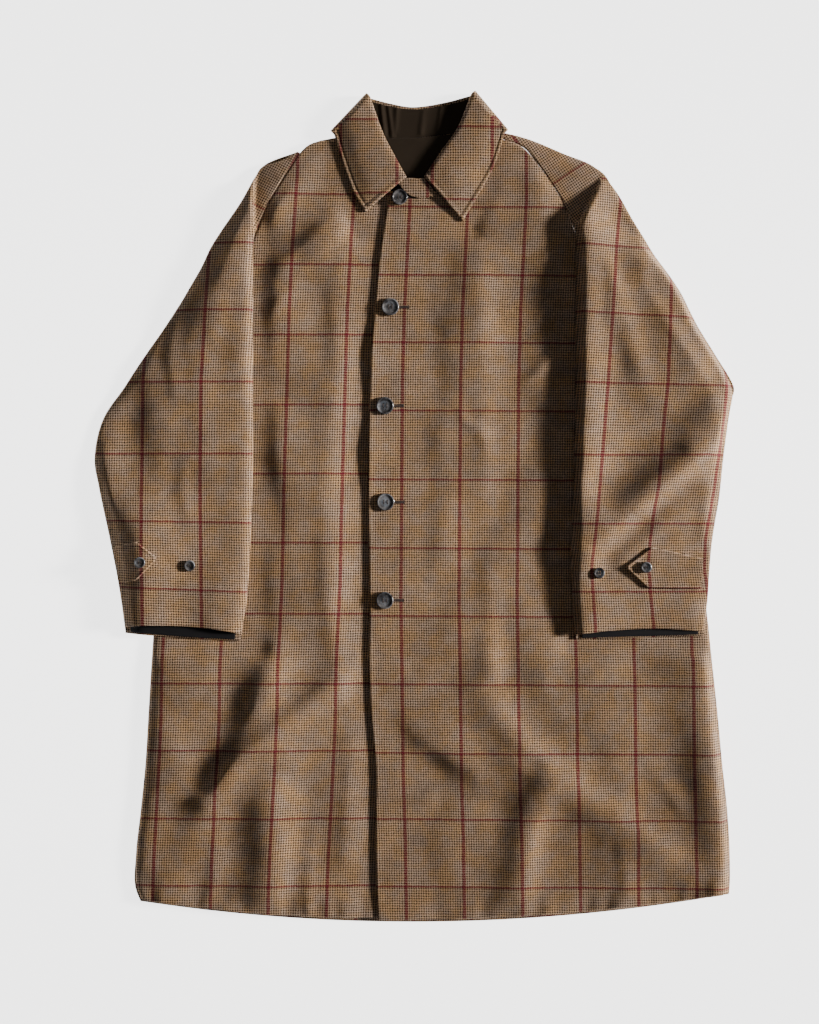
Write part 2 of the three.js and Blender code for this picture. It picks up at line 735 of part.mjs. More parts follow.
function addSleeve(name, hand, front, back) {
  const { side } = hand;
  const backUnder = (x, y) => sleeveBackUnder(hand, x, y);
  const frontUnder = (x, y, fromBody, fromOuter) => sleeveFrontUnder(hand, x, y, fromBody, fromOuter);
  const cuffUnder = (x, y) => sleeveBackUnder(hand, x, y) + CUFF_LINING_REST;
  const places = across(SLEEVE_BACK_CELLS);
  const cuff = [mixRows(back[0], back[1], CUFF_LINING_INSET), { ...back[1], cells: 0 }];
  const cuffName = name.replace('sleeve', 'cuff_lining');
  coat.add(panel(`${name}_back`, back, places, SLEEVE_WALL, backUnder, TWEED, side));
  coat.add(panel(`${name}_front`, front, across(12), SLEEVE_WALL, frontUnder, TWEED, side));
  coat.add(panel(cuffName, cuff, places.slice(1, -1), LINING_WALL, cuffUnder, NAVY, side));
}

addSleeve('sleeve_left', RIGHT_HAND, SLEEVE_R_FRONT, SLEEVE_R_BACK);
addSleeve('sleeve_right', LEFT_HAND, SLEEVE_L_FRONT, SLEEVE_L_BACK);

coat.add(band('collar_fall', LEAF_RIGHT, FALL_BACK, LEAF_LEFT, COLLAR_WALL, 0, 7, 5, TWEED));
coat.add(band('collar_stand', STAND_RIGHT, STAND_BACK, STAND_LEFT, STAND_WALL, COLLAR_LIFT, 5, 3, OLIVE));

// Upper surfaces that the tabs and buttons rest on
const FAR_FROM_SIDE = 300;
const leftFrontTop = (x, y) => {
  const fromLap = x - lookup(PLACKET, 'y', 'x', y);
  return frontLeftUnder(x, y, fromLap, FAR_FROM_SIDE) + BODY_WALL;
};
const sleeveTop = (hand, sections) => (x, y) => {
  const inner = lookup(sections, 'yl', 'xl', y);
  const outer = lookup(sections, 'yr', 'xr', y);
  return sleeveFrontUnder(hand, x, y, Math.max(0, x - inner), Math.max(0, outer - x)) + SLEEVE_WALL;
};
const leftSleeveTop = sleeveTop(RIGHT_HAND, SLEEVE_R_FRONT);
const rightSleeveTop = sleeveTop(LEFT_HAND, SLEEVE_L_FRONT);

const TAB_CLEARANCE = 0.7;
const underLeftTab = (x, y) => leftSleeveTop(x, y) + TAB_CLEARANCE;
const underRightTab = (x, y) => rightSleeveTop(x, y) + TAB_CLEARANCE;
coat.add(panel('cuff_tab_left', TAB_ON_LEFT, across(3), TAB_WALL, underLeftTab, TWEED));
coat.add(panel('cuff_tab_right', TAB_ON_RIGHT, across(3), TAB_WALL, underRightTab, TWEED, -1));

// The highest point of a surface under a button, so that the button rests on it
function restOn(top, x, y, radius) {
  let highest = 0;
  for (let k = 0; k < 12; k += 1) {
    const a = (k * Math.PI) / 6;
    highest = Math.max(highest, top(x + radius * Math.cos(a), y + radius * Math.sin(a)));
  }
  return Math.max(highest, top(x, y)) + SEAM;
}

const BUTTONS = [
  ['button_front_1', 10, -18.5, 390.2, leftFrontTop, 0],
  ['button_front_2', 11, -30.2, 251.8, leftFrontTop, 0],
  ['button_front_3', 11, -36.9, 127.3, leftFrontTop, 0],
  ['button_front_4', 11, -36.2, 6, leftFrontTop, 0],
  ['button_front_5', 11, -37.2, -117.9, leftFrontTop, 0],
  ['button_cuff_left', 7, 231.6, -83.1, leftSleeveTop, 0],
  ['button_tab_left', 7, 290.7, -75.9, leftSleeveTop, TAB_WALL + TAB_CLEARANCE],
  ['button_cuff_right', 7, 282.2, -74, rightSleeveTop, 0],
  ['button_tab_right', 7, 343.4, -69.9, rightSleeveTop, TAB_WALL + TAB_CLEARANCE],
];
for (const [name, radius, x, y, top, above] of BUTTONS) {
  const side = top === rightSleeveTop ? -1 : 1;
  coat.add(button(name, radius, side * x, y, restOn(top, x, y, radius) + above));
}

export default coat;
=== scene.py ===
import math
import bpy
import numpy as np
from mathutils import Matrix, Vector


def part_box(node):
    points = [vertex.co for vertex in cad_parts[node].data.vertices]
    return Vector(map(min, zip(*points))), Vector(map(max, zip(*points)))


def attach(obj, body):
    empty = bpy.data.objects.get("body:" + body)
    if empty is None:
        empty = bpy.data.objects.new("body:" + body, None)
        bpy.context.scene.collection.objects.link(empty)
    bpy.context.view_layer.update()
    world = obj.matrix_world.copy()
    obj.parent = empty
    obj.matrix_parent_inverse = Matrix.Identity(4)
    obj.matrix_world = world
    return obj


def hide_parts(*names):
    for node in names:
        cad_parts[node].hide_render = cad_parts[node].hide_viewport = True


# A raglan coat of checked wool, laid flat and face up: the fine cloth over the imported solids.
# Sizes are in millimetres until a mesh is made, in the frame of the solids.
# Left and right are the wearer's: the left sleeve lies on the +X side. The right sleeve's tables are
# given with x mirrored, so both sleeves run the same way.
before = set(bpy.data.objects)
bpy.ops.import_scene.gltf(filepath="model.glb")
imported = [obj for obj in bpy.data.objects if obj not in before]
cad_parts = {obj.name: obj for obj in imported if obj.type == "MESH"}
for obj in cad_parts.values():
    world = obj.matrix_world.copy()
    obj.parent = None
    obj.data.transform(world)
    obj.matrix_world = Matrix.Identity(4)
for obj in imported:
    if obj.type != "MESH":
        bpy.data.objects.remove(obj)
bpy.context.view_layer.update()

MM = 0.001
RANDOM = np.random.RandomState(11)

# Cloth and clearances
BODY_WALL = 2.2
SLEEVE_WALL = 2.0
LINING_WALL = 1.0
COLLAR_WALL = 2.4
STAND_WALL = 2.0
TAB_WALL = 2.6
STEP_BODY = 5.0
STEP_SLEEVE = 4.0
STEP_HIDDEN = 9.0
STEP_SLEEVE_BACK = 7.0
STEP_CUFF = 6.0
LINING_EDGE = 0.5

# Heights of the undersides of the layers
LINING_REST = 2.8
FRONT_REST = 5.2
LAP_UNDER_REST = 4.3
LAP_OVER_REST = 6.9
FRONT_LOWEST = 4.2
SIDE_REST = 2.55
OVER_BODY = 8.4
SLEEVE_SPACE = 3.7
LAP_WIDTH = 60.0
COLLAR_LIFT = 3.0
FRONT_PUFF = 3.2
UNDERARM = 171.0

# The check: one windowpane is 73.2 mm across and 86 mm along, of 192 by 216 threads
PANE_ACROSS = 73.2
PANE_ALONG = 86.0
THREADS_ACROSS = 192
THREADS_ALONG = 216


def mix(a, b, t):
    return a + (b - a) * t


def smooth(t):
    c = np.clip(t, 0.0, 1.0)
    return c * c * (3.0 - 2.0 * c)


def table(text):
    """A table whose first line names its columns, as arrays."""
    names, *rows = [line.split() for line in text.strip().splitlines()]
    return {name: np.array([float(row[i]) for row in rows]) for i, name in enumerate(names)}


BACK = table("""
  xl yl xr yr bow
  -346 -498.5 398 -489.5 -30.5
  -352 -484 399 -478 -25
  -352 -440 399 -440 -18
  -346 -385 396 -385 -12
  -340 -325 389.5 -325 -8
  -336 -260 383.5 -260 -5
  -332 -195 376.5 -195 -3
  -327 -130 369.5 -130 0
  -316 -60 358 -60 0
  -307 0 345 0 0
  -299 50 334 50 0
  -291 100 322 100 0
  -284 140 312 140 0
  -280 170 306 171 0
  -268 200 288 201 0
  -257 225 271.4 225.7 0
  -246 250 255 250 0
  -234 275 240 275.6 0
  -222 300 226 300 0
  -211 322 212.4 327.6 0
  -201 342 201 352 0
  -184 383 183 393 -4
  -165 414 167 418 -12
  -144 446.5 151 439 -20
  -122 462 134 456 -20
  -97 466 108 464.7 -14
  -66 464 82 468 -2.5""")

BACK_LINING = table("""
  xl yl xr yr bow
  -334 -497 386 -489 -27
  -338 -446 385 -446 -18
  -325 -318 374 -318 -8
  -315 -180 360 -180 0
  -292 0 330 0 0
  -265 160 291 160 0
  -222 270 228 270 0
  -180 340 180 345 -4
  -140 388 142 393 -12
  -58 416 66 416 -10
  -48 465 60 472 -2.5""")

FRONT_RIGHT = table("""
  xl yl xr yr bow
  -344.5 -496 2 -519 -7
  -350 -480 2 -495 -6
  -350.5 -440 2 -445 -5
  -344.5 -385 2 -388 -3
  -338.5 -325 2 -326 0
  -334.5 -260 0 -260 0
  -330.5 -195 -6 -195 0
  -325.5 -130 -6 -130 0
  -314.5 -60 -7 -60 0
  -305.5 0 -8 0 0
  -297.5 50 -8 50 0
  -289.5 100 -7.5 100 0
  -282.5 140 -6 140 0
  -280 170 -5 168 0
  -268 200 -4 192 0
  -257 225 -3 214 0
  -246 250 -1 236 0
  -234 275 1 258 0
  -222 300 3 280 0
  -211 322 5 300 0
  -201 342 7 318 -5
  -184 383 10 342 -12
  -165 414 13 362 -20
  -144 446.5 15 376 -30
  -122 461 12 396 -28
  -95 462.5 17 391 -22""")

FRONT_LEFT = table("""
  xl yl xr yr bow
  -45.4 -521 397 -487.5 -9
  -47 -495 397.5 -475 -8
  -49 -440 397.5 -438 -6
  -49 -385 394.5 -384 -4
  -49.5 -325 388 -324 -2
  -55 -260 382 -260 0
  -57.5 -195 375 -195 0
  -56.5 -130 368 -130 0
  -57.5 -60 356.5 -60 0
  -58.5 0 343.5 0 0
  -58 50 332.5 50 0
  -57.6 100 320.5 100 0
  -56.5 140 310.5 140 0
  -55.5 170 306 171 0
  -54.5 197 288 201 0
  -52.5 222 271.4 225.7 0
  -50.5 246 255 250 0
  -48.5 268 240 275.6 0
  -46.5 290 226 300 0
  -44.5 312 212.4 327.6 0
  -42 330 201 352 -4
  -38.5 352 183 393 -8
  -36 368 167 418 -16
  -34.5 378 151 439 -24
  -33.5 385 134 456 -26
  -33 391 108 464.7 -24""")

LEFT_SLEEVE_FRONT = table("""
  xl yl xr yr bow
  202 -161 363.5 -157 5
  199 -120 369 -120 3
  197.5 -80 371.5 -82 0
  197 -41 373.5 -45 0
  199 -5 379 -10 0
  200.5 30 385.5 26 0
  201.5 62 389.5 62 0
  202 95 394 95 0
  202.5 125 399 122 0
  202.8 150 402 145 0
  203 178 393 168 0
  203 206 375 198 0
  203 234 355 232 0
  203.3 262 338 268 0
  203.5 288 318 298 0
  203.8 313 301 320 0
  204 336 285 347 0
  201.4 352.3 272 368 0
  192.4 372.8 259 387 0
  183.4 393.3 248 407 0
  175.4 405.8 240 420 0
  167.4 418.3 224 431 0
  151.4 439.3 188 445.5 0
  134.4 456.3 143 464 0
  108.4 465 112 472 0""")

LEFT_SLEEVE_BACK = table("""
  xl yl xr yr bow
  203 -167 365 -162.5 0
  200 -110 370 -110 0
  198 -45 374.8 -50 0
  201 20 386 14 0
  212 62 391 62 0
  238 104 396 100 0
  274 144 401.5 136 0
  306.6 171.6 404.3 151 0
  288.6 201.4 380 193 0
  272 226.1 358 229 0
  255.6 250.4 338 268 0
  240.6 276 319 297 0
  226.6 300.4 303 319 0
  213 328 291 339 0
  201.6 352.4 278 360 0
  183.6 393.4 250 406 0
  167.6 418.4 226 431 0
  151.6 439.4 190 446 0
  134.6 456.4 144 465 0
  108.6 465.2 112.5 472.5 0""")

RIGHT_SLEEVE_FRONT = table("""
  xl yl xr yr bow
  219.5 -160 363.5 -151 5
  212 -128 368 -125 2
  209.5 -98 371.5 -97 0
  207.5 -66 377.5 -66 0
  206 -34 384.5 -34 0
  204.5 -3 391.5 -4 0
  203.5 30 398.5 28 0
  203 60 403 60 0
  203 88 400.5 85 0
  203 115 389 117 0
  203 142 370.5 144 0
  203 170 354 170 0
  203 197 335 198 0
  203 224 316.5 224 0
  203 251 298.5 251 0
  203 278 282.5 278 0
  203 304 268 303 0
  203 326 256 328 0
  201.4 342.3 243 348 0
  192.9 362.8 231 365 0
  184.4 383.3 218 384 0
  174.9 398.8 208 402 0
  165.4 414.3 200 417 0
  155 430.5 190.5 430 0
  149.7 438.7 168 436.5 0
  144.4 446.8 147.5 448.3 0""")

RIGHT_SLEEVE_BACK = table("""
  xl yl xr yr bow
  219 -169 365 -159.5 -1
  210 -107 373 -103 0
  206 -34 385.5 -38 0
  205 25 399 26 0
  212 70 404.3 62 0
  236 112 392 114 0
  262 146 368 149 0
  280.6 170.6 352 172 0
  268.6 200.4 333 201 0
  257.6 225.4 316 226 0
  246.6 250.4 299 252 0
  234.6 275.4 284 276 0
  222.6 300.4 270 301 0
  211.6 322.4 259 323 0
  201.6 342.4 248 342 0
  184.6 383.4 219.6 383 0
  165.6 414.4 202.5 414 0
  155.3 430.5 191.5 430.6 0
  144.6 446.9 148.2 448.8 0""")

LEFT_CAP_CREASE = table("""
  y x
  354 207
  365 211
  393 225.5
  414 236
  422 241""")

RIGHT_CAP_CREASE = table("""
  y x
  345 202
  386 203
  414 201
  428 195""")

LEAF_RIGHT = table("""
  xr yr xe ye zr ze
  -9.8 415.5 -62.1 371.4 15.6 11.6
  -20 434 -75 392 15.6 11.6
  -37.5 467 -88 426 15.6 11.6
  -55.3 516 -101.4 470.7 15.6 11.6""")

FALL_BACK = table("""
  xr yr xe ye zr ze
  -55.3 516 -101.4 470.7 0 0
  -30 509.5 -52 450 0 0
  -1.6 505 5 440 0 0
  40 511 65 451 0 0
  71.5 519.4 114.3 472.2 0 0""")

LEAF_LEFT = table("""
  xr yr xe ye zr ze
  71.5 519.4 114.3 472.2 15.6 11.6
  55 479 101.5 432 15.6 11.6
  31 444 80 392 15.6 11.6
  12 415.8 60.6 360 15.6 11.6""")

STAND_RIGHT = table("""
  xr yr xe ye zr ze
  -14 419 -42 398 10.2 10.2
  -39 465 -62 430 10.2 9.9
  -53 511 -77 479 10.2 10""")

STAND_BACK = table("""
  xr yr xe ye zr ze
  -53 511 -77 479 3 3
  -31 505.5 -36 464 3 3
  -1.6 501.5 5 466.5 3 3
  38 506.5 47.5 471.5 3 3
  68 514 88 480 3 3""")

STAND_LEFT = table("""
  xr yr xe ye zr ze
  68 514 88 480 10.2 10
  54 476 78 436 10.4 9.8
  27 436 53 412 11.2 10.4
  10.5 414.5 28 392 11.6 11.5
  -12 413 -6.5 393 11.6 11.5
  -22 409 -16 402 11.6 11.5""")


def fold(left, right, *path):
    """A crease with its own width on each side, and a height at each point of its path."""
    return left, right, np.array(path, float)


FOLDS_RIGHT_FRONT = [
    fold(18, 26, (-66, 378, 6), (-110, 348, 9), (-150, 310, 6), (-170, 285, 2)),
    fold(18, 18, (-122, 436, 2), (-146, 402, 5), (-176, 366, 5)),
    fold(16, 60, (-168, 120, 1), (-160, 20, 2.5), (-152, -80, 3)),
    fold(22, 26, (-172, -160, 2), (-180, -215, 9), (-200, -262, 9), (-228, -318, 8), (-262, -376, 7),
         (-288, -425, 3)),
    fold(22, 22, (-90, 230, 2), (-104, 60, 2)),
    fold(14, 24, (-117, 150, 0.5), (-112.5, -10, 2.5), (-107, -124, 4), (-97, -187, 1)),
    fold(14, 22, (-60, -209, 3), (-112.5, -232, 6), (-163, -270, 7), (-226, -328, 6), (-262, -370, 4)),
    fold(34, 26, (-165, -300, 3), (-180, -376, 9), (-181, -477, 9)),
]

FOLDS_LEFT_FRONT = [
    fold(36, 20, (72, 380, 2), (78, 279, 4.5), (82, 178.6, 4.5), (82, 90, 4), (88, -10, 2)),
    fold(27, 14, (158, 405, 3), (158, 304, 2), (158, 115, 1), (150, -124, 1)),
    fold(22, 22, (30, 90, 1.2), (44, -60, 1.2)),
    fold(14, 14, (92, -60, 1), (95, -130, 3), (98, -200, 4)),
    fold(34, 20, (78, -150, 2), (90, -225, 6), (106, -268, 8), (140, -308, 10), (208, -362, 10),
         (300, -428, 9), (345, -462, 4)),
    fold(16, 34, (-37, -243, 1), (13, -290, 5), (50, -313, 7), (83, -334, 6), (140, -355, 2)),
    fold(30, 18, (168, -350, 4), (143, -413, 9), (130, -485, 9)),
    fold(36, 10, (363, -168, 9), (374, -300, 12), (386, -400, 12), (392, -470, 8)),
    fold(24, 24, (158, -162, 2), (166, -225, 4), (200, -290, 3)),
    fold(30, 60, (234, -216, 4.5), (238, -262, 5.5), (262, -330, 4)),
    fold(20, 20, (238, -430, 2), (250, -500, 2)),
]

FOLDS_RIGHT_SLEEVE = [
    fold(20, 20, (312, 209, -1.2), (322, 120, -1.2), (329, 40, -1.2)),
    fold(24, 24, (262, 250, 2.6), (268, 150, 2.6), (262, 60, 2.6)),
    fold(26, 34, (398, 46, 4), (368, -4, 7), (348, -50, 8), (338, -100, 7), (334, -140, 5)),
    fold(20, 22, (339, 216, 2), (326, 115, 3), (334, 50, 1.5)),
]

FOLDS_LEFT_SLEEVE = [
    fold(20, 20, (391, 168, -3), (341, 130, -3), (290, 85, -3), (234, 31, -3)),
    fold(26, 14, (402, 94, 10), (352, 62, 14), (300, 20, 14), (244, -28, 11), (222, -50, 4)),
    fold(18, 14, (250, 290, 2), (262, 235, 4.5), (280, 180, 4.5), (292, 150, 1.5)),
    fold(80, 14, (282, 280, 5), (320, 220, 8), (350, 174, 8), (372, 138, 6)),
    fold(14, 14, (352, 6, 2), (304, -26, 4), (262, -66, 4)),
    fold(18, 18, (330, -40, 1.6), (240, -120, 1.6)),
]

# The wearer's right shoulder stands up along its raglan seam, front and sleeve alike
RAGLAN_RISE = [
    fold(26, 16, (-146, 430, 3), (-162, 410, 5), (-180, 386, 5), (-201, 342, 2)),
]

# Finer creases that the solids leave out
FINE_RIGHT_FRONT = [
    fold(8, 8, (-140, 285, 0.8), (-168, 262, 1.6), (-186, 232, 0.6)),
    fold(7, 7, (-112, 336, -0.6), (-152, 306, -1.6)),
    fold(9, 12, (-70, -262, 0.5), (-80, -330, 2.2), (-84, -420, 1.4)),
    fold(8, 8, (-232, -300, -0.6), (-262, -356, -1.4)),
    fold(9, 10, (-128, -400, 1.2), (-136, -500, 2.4)),
    fold(9, 10, (-248, -420, 1), (-256, -492, 2.6)),
    fold(7, 9, (-74, 88, 0.5), (-70, 40, 1.4), (-76, -20, 0.6)),
    fold(8, 8, (-96, 300, 0.5), (-104, 262, 1.3), (-100, 214, 0.5)),
]

FINE_LEFT_FRONT = [
    fold(7, 7, (38, 138, 0.5), (60, 120, 1.8)),
    fold(7, 8, (60, 110, 1.2), (84, 96, 2.2), (92, 66, 0.8)),
    fold(6, 6, (48, 130, -0.6), (76, 110, -1.6)),
    fold(8, 9, (132, 152, 0.8), (158, 172, 3), (178, 190, 2.6)),
    fold(8, 8, (140, 292, 0.6), (176, 318, 3)),
    fold(8, 8, (146, 236, 0.5), (178, 252, 2.6)),
    fold(9, 9, (96, -290, -0.8), (150, -322, -2)),
    fold(9, 12, (300, -330, 1.2), (330, -372, 2.2)),
    fold(10, 14, (262, -430, 1.4), (270, -500, 3)),
    fold(8, 10, (20, 330, 0.5), (14, 290, 1.4), (18, 240, 0.5)),
]

FINE_LEFT_SLEEVE = [
    fold(12, 12, (372, 20, 2.2), (366, -40, 2.2)),
    fold(8, 9, (238, 330, 1), (250, 280, 2), (246, 230, 1)),
]

FINE_RIGHT_SLEEVE = [
    fold(14, 16, (238, 300, 2), (252, 220, 2)),
    fold(9, 10, (286, 70, 0.8), (292, 20, 2), (280, -30, 1)),
    fold(8, 9, (300, 250, 0.8), (308, 190, 1.8), (300, 140, 0.8)),
]


def on_line(x, y, ax, ay, bx, by):
    """How far along the line between two points the nearest point to each place is."""
    length2 = (bx - ax) ** 2 + (by - ay) ** 2
    return np.clip(((x - ax) * (bx - ax) + (y - ay) * (by - ay)) / length2, 0, 1)


def to_line(x, y, ax, ay, bx, by):
    """How far each place is from the line between two points."""
    t = on_line(x, y, ax, ay, bx, by)
    return np.hypot(x - mix(ax, bx, t), y - mix(ay, by, t))


def fold_height(folds, x, y, side=1):
    """The height of a set of folds at each place: each falls off smoothly from its path. side is
    -1 where x is mirrored."""
    total = np.zeros_like(x)
    for left, right, path in folds:
        nearest = np.full_like(x, np.inf)
        height = np.zeros_like(x)
        facing = np.zeros_like(x)
        for (ax, ay, ah), (bx, by, bh) in zip(path[:-1], path[1:]):
            t = on_line(x, y, ax, ay, bx, by)
            dx = x - mix(ax, bx, t)
            distance = np.hypot(dx, y - mix(ay, by, t))
            closer = distance < nearest
            nearest = np.where(closer, distance, nearest)
            height = np.where(closer, mix(ah, bh, t), height)
            facing = np.where(closer, side * dx / (distance + 1e-6), facing)
        width = mix(left, right, smooth(facing / 2 + 0.5))
        total += height * np.exp(-((nearest / width) ** 2))
    return total


# Soft unevenness of laid cloth: a few long waves in mixed directions
WAVES = [
    (RANDOM.uniform(45, 150), RANDOM.uniform(0, math.pi), RANDOM.uniform(0, 2 * math.pi)) for _ in range(26)
]


def unevenness(x, y, strength=1.0):
    total = np.zeros_like(x)
    for length, direction, phase in WAVES:
        k = 2 * math.pi / length
        total += length / 150 * np.sin(k * (x * math.cos(direction) + y * math.sin(direction)) + phase)
    return 0.42 * strength * total


# Where the layers lie: the same rules as the solids
LEFT_BODY_EDGE = (BACK["yr"], BACK["xr"])
RIGHT_BODY_EDGE = (BACK["yl"], -BACK["xl"])


def collar_lift(x, y):
    """How far the layers rise at the neck, over the collar's back part that lies under them."""
    edge = 440 + 35 * ((x - 6.5) / 112) ** 2
    return COLLAR_LIFT * smooth((y - edge + 26) / 20)


def over_body(edge, x, y, ramp):
    """1 where a sleeve lies on the body, falling to 0 past the body's side edge."""
    return 1 - smooth((x - np.interp(y, edge[0], edge[1]) - 14) / ramp)


def calm(x, y):
    """1 under the sleeves, where the fronts lie calm."""
    return smooth((np.abs(x) - 170) / 28) * smooth((y + 198) / 20) * (1 - smooth((y - 350) / 20))


def side_drop(y, from_edge, reach):
    """How far a front settles onto the back at its side edge, below the underarm."""
    below = 1 - smooth((y - UNDERARM + 30) / 30)
    return below * (FRONT_REST - SIDE_REST) * np.exp(-from_edge / reach)


# How far out from the middle the collar's leaves reach: places along y, and the reach there
LEAF_REACH = (np.array([355.0, 392, 432, 472]), np.array([60.0, 78, 95, 108]))


def neck_calm(x, y):
    """0 under the collar's leaves, 1 away from them."""
    under = 1 - smooth((np.abs(x) - np.interp(y, *LEAF_REACH) - 12) / 26)
    return 1 - smooth((y - 326) / 22) * under


def back_under(x, y, _from_left, _from_right):
    return collar_lift(x, y)


def lining_under(x, y, _from_left, _from_right):
    return LINING_REST + collar_lift(x, y + 4)


def soft_maximum(low, z, softness=0.8):
    """z kept above a lowest height, with a rounded bottom instead of a kink."""
    d = z - low
    return low + (d + np.sqrt(d * d + softness * softness)) / 2


def front_puff(from_side, reach):
    """The fullness of a front, which rises from its side edge."""
    return FRONT_PUFF * (1 - np.exp(-from_side / reach))


def free_of_layers(x, y):
    """1 where nothing lies on a front, 0 under the sleeves and the collar."""
    return (1 - calm(x, y)) * neck_calm(x, y)


def front_right_under(x, y, from_side, from_lap):
    folds = fold_height(FOLDS_RIGHT_FRONT + FINE_RIGHT_FRONT, x, y) + unevenness(x, y)
    puff = front_puff(from_side, reach=12) * (1 - smooth((y - 320) / 60))
    form = puff + folds * smooth(from_side / 16)
    free = soft_maximum(FRONT_LOWEST, FRONT_REST + form * free_of_layers(x, y))
    lapped = smooth((from_lap - LAP_WIDTH + 5) / 44)
    height = mix(LAP_UNDER_REST, free, lapped) - side_drop(y, from_side, reach=4)
    return height + fold_height(RAGLAN_RISE, x, y)


# The lap's edge stands up a little between the middle buttons: its lift, its width, and its
# places and length along y
LAP_EDGE_LIFT = 2.4
LAP_EDGE_WIDTH = 15
LAP_EDGE_PLACES = (190, 66)
LAP_EDGE_LENGTH = 34


def lap_edge_lift(y, from_lap):
    flat = 1
    for middle in LAP_EDGE_PLACES:
        flat = flat * (1 - np.exp(-(((y - middle) / LAP_EDGE_LENGTH) ** 2)))
    return LAP_EDGE_LIFT * np.exp(-((from_lap / LAP_EDGE_WIDTH) ** 2)) * (1 - flat)


def front_left_under(x, y, from_lap, from_side):
    over_lap = 1 - smooth((from_lap - LAP_WIDTH) / 42)
    buttoned = over_lap * (1 - smooth((-150 - y) / 40))
    rest = mix(FRONT_REST, LAP_OVER_REST, over_lap)
    lowest = mix(FRONT_LOWEST, LAP_OVER_REST, over_lap)
    at_rim = smooth(from_side / 9) * smooth((from_lap + 2) / 22)
    folds = fold_height(FOLDS_LEFT_FRONT + FINE_LEFT_FRONT, x, y) + unevenness(x, y)
    rest = rest + lap_edge_lift(y, from_lap)
    form = front_puff(from_side, reach=26) * (1 - over_lap) + folds * at_rim * (1 - buttoned)
    height = soft_maximum(lowest, rest + form * free_of_layers(x, y), softness=0.4)
    return height - side_drop(y, from_side, reach=5)


# Places on a sleeve whose height the buttons and the tab need: the ends of a line, and its reach
HELD_ON_LEFT = [((231.6, -83), (231.6, -84), 22), ((267, -77), (363, -85), 34)]
HELD_ON_RIGHT = [((282.2, -74), (282.2, -75), 22), ((324, -65), (377, -74), 34)]

# What forms each sleeve. inner and outer are the heights of the rolls along its two edges, and side
# is -1 where x is mirrored
LEFT_SLEEVE = dict(
    edge=LEFT_BODY_EDGE,
    crease=LEFT_CAP_CREASE,
    folds=FOLDS_LEFT_SLEEVE,
    fine=FINE_LEFT_SLEEVE,
    held=HELD_ON_LEFT,
    rise=[],
    inner=12,
    outer=5,
    side=1,
)
RIGHT_SLEEVE = dict(
    edge=RIGHT_BODY_EDGE,
    crease=RIGHT_CAP_CREASE,
    folds=FOLDS_RIGHT_SLEEVE,
    fine=FINE_RIGHT_SLEEVE,
    held=HELD_ON_RIGHT,
    rise=RAGLAN_RISE,
    inner=4,
    outer=0,
    side=-1,
)
SLEEVE_PUFF = 2.2
FOLD_TOP = 12.5
CAP_REST = 5.9
CAP_GAP = 0.4
INNER_EDGE = 8


def sleeve_back_under(hand, x, y):
    fade = 1 - smooth((y - UNDERARM - 6) / 45)
    return OVER_BODY * over_body(hand["edge"], x, y, ramp=24) * fade + collar_lift(hand["side"] * x, y)


def cap_share(hand, x, y):
    """1 on the cap above the fold crease, 0 on the rest of the sleeve."""
    crease = hand["crease"]
    fold_x = np.interp(y, crease["y"], crease["x"])
    return smooth((fold_x - x) / 5 + 0.5) * smooth((y - crease["y"][0]) / 8)


def inner_roll(y, last, from_body):
    """The sleeve stands highest along its inner edge, where it is folded, and falls away outward."""
    spread = np.where(from_body < INNER_EDGE, 6.0, 30.0)
    along = (0.6 + 0.4 * smooth((y + 160) / 200)) * (1 - smooth((y - last + 60) / 60))
    return along * np.exp(-(((from_body - INNER_EDGE) / spread) ** 2))


def outer_roll(y, from_outer, height, fullness):
    """The fullness along the upper outer edge of a sleeve."""
    along = smooth((y - 70) / 50) * (1 - smooth((y - 300) / 50))
    form = height * np.exp(-((np.maximum(0, from_outer - 9) / 30) ** 2))
    return along * (form + fullness) * smooth(from_outer / 9)


def sleeve_front_under(hand, x, y, from_body, from_outer):
    """The underside of a sleeve's front half: its fullness, rolls and folds, and its cap."""
    crease = hand["crease"]
    base = OVER_BODY * over_body(hand["edge"], x, y, ramp=60) + SLEEVE_SPACE
    rim = np.minimum(from_body, from_outer)
    body = base + SLEEVE_PUFF * (1 - np.exp(-rim / 14))
    first = crease["y"][0]
    last = crease["y"][-1]
    fold_x = np.interp(y, crease["y"], crease["x"])
    lift = np.maximum(0, FOLD_TOP - body) * np.exp(-np.abs(x - fold_x) / 30)
    lift = lift * smooth((y - first + 90) / 60) * smooth((last - y) / 36)
    fade = 1 - smooth((y - last + 120) / 60)
    free = np.ones_like(x)
    for (ax, ay), (bx, by), reach in hand["held"]:
        free *= 1 - np.exp(-((to_line(x, y, ax, ay, bx, by) / reach) ** 4))
    fine = fade * fold_height(hand["fine"], x, y, hand["side"]) + unevenness(x, y, 0.7)
    folds = fade * fold_height(hand["folds"], x, y, hand["side"]) + fine * free
    fullness = SLEEVE_SPACE + OVER_BODY - base if hand["outer"] > 0 else 0
    rolls = hand["inner"] * inner_roll(y, last, from_body)
    rolls = rolls + outer_roll(y, from_outer, hand["outer"], fullness)
    main = body + lift + rolls + folds * smooth(rim / 13)
    main = soft_maximum(base, main, softness=0.4)
    on_back = SLEEVE_WALL + CAP_GAP + collar_lift(hand["side"] * x, y)
    cap_height = np.maximum(CAP_REST - 3.3 * np.exp(-from_outer / 14), on_back)
    cap_height = cap_height + fold_height(hand["rise"], hand["side"] * x, y)
    deeper = 1.3 + 2.2 * smooth((y - 90) / 50)
    drop = 1.3 * np.exp(-from_outer / 5) + deeper * np.exp(-from_body / 6)
    return mix(main - drop, cap_height, cap_share(hand, x, y))


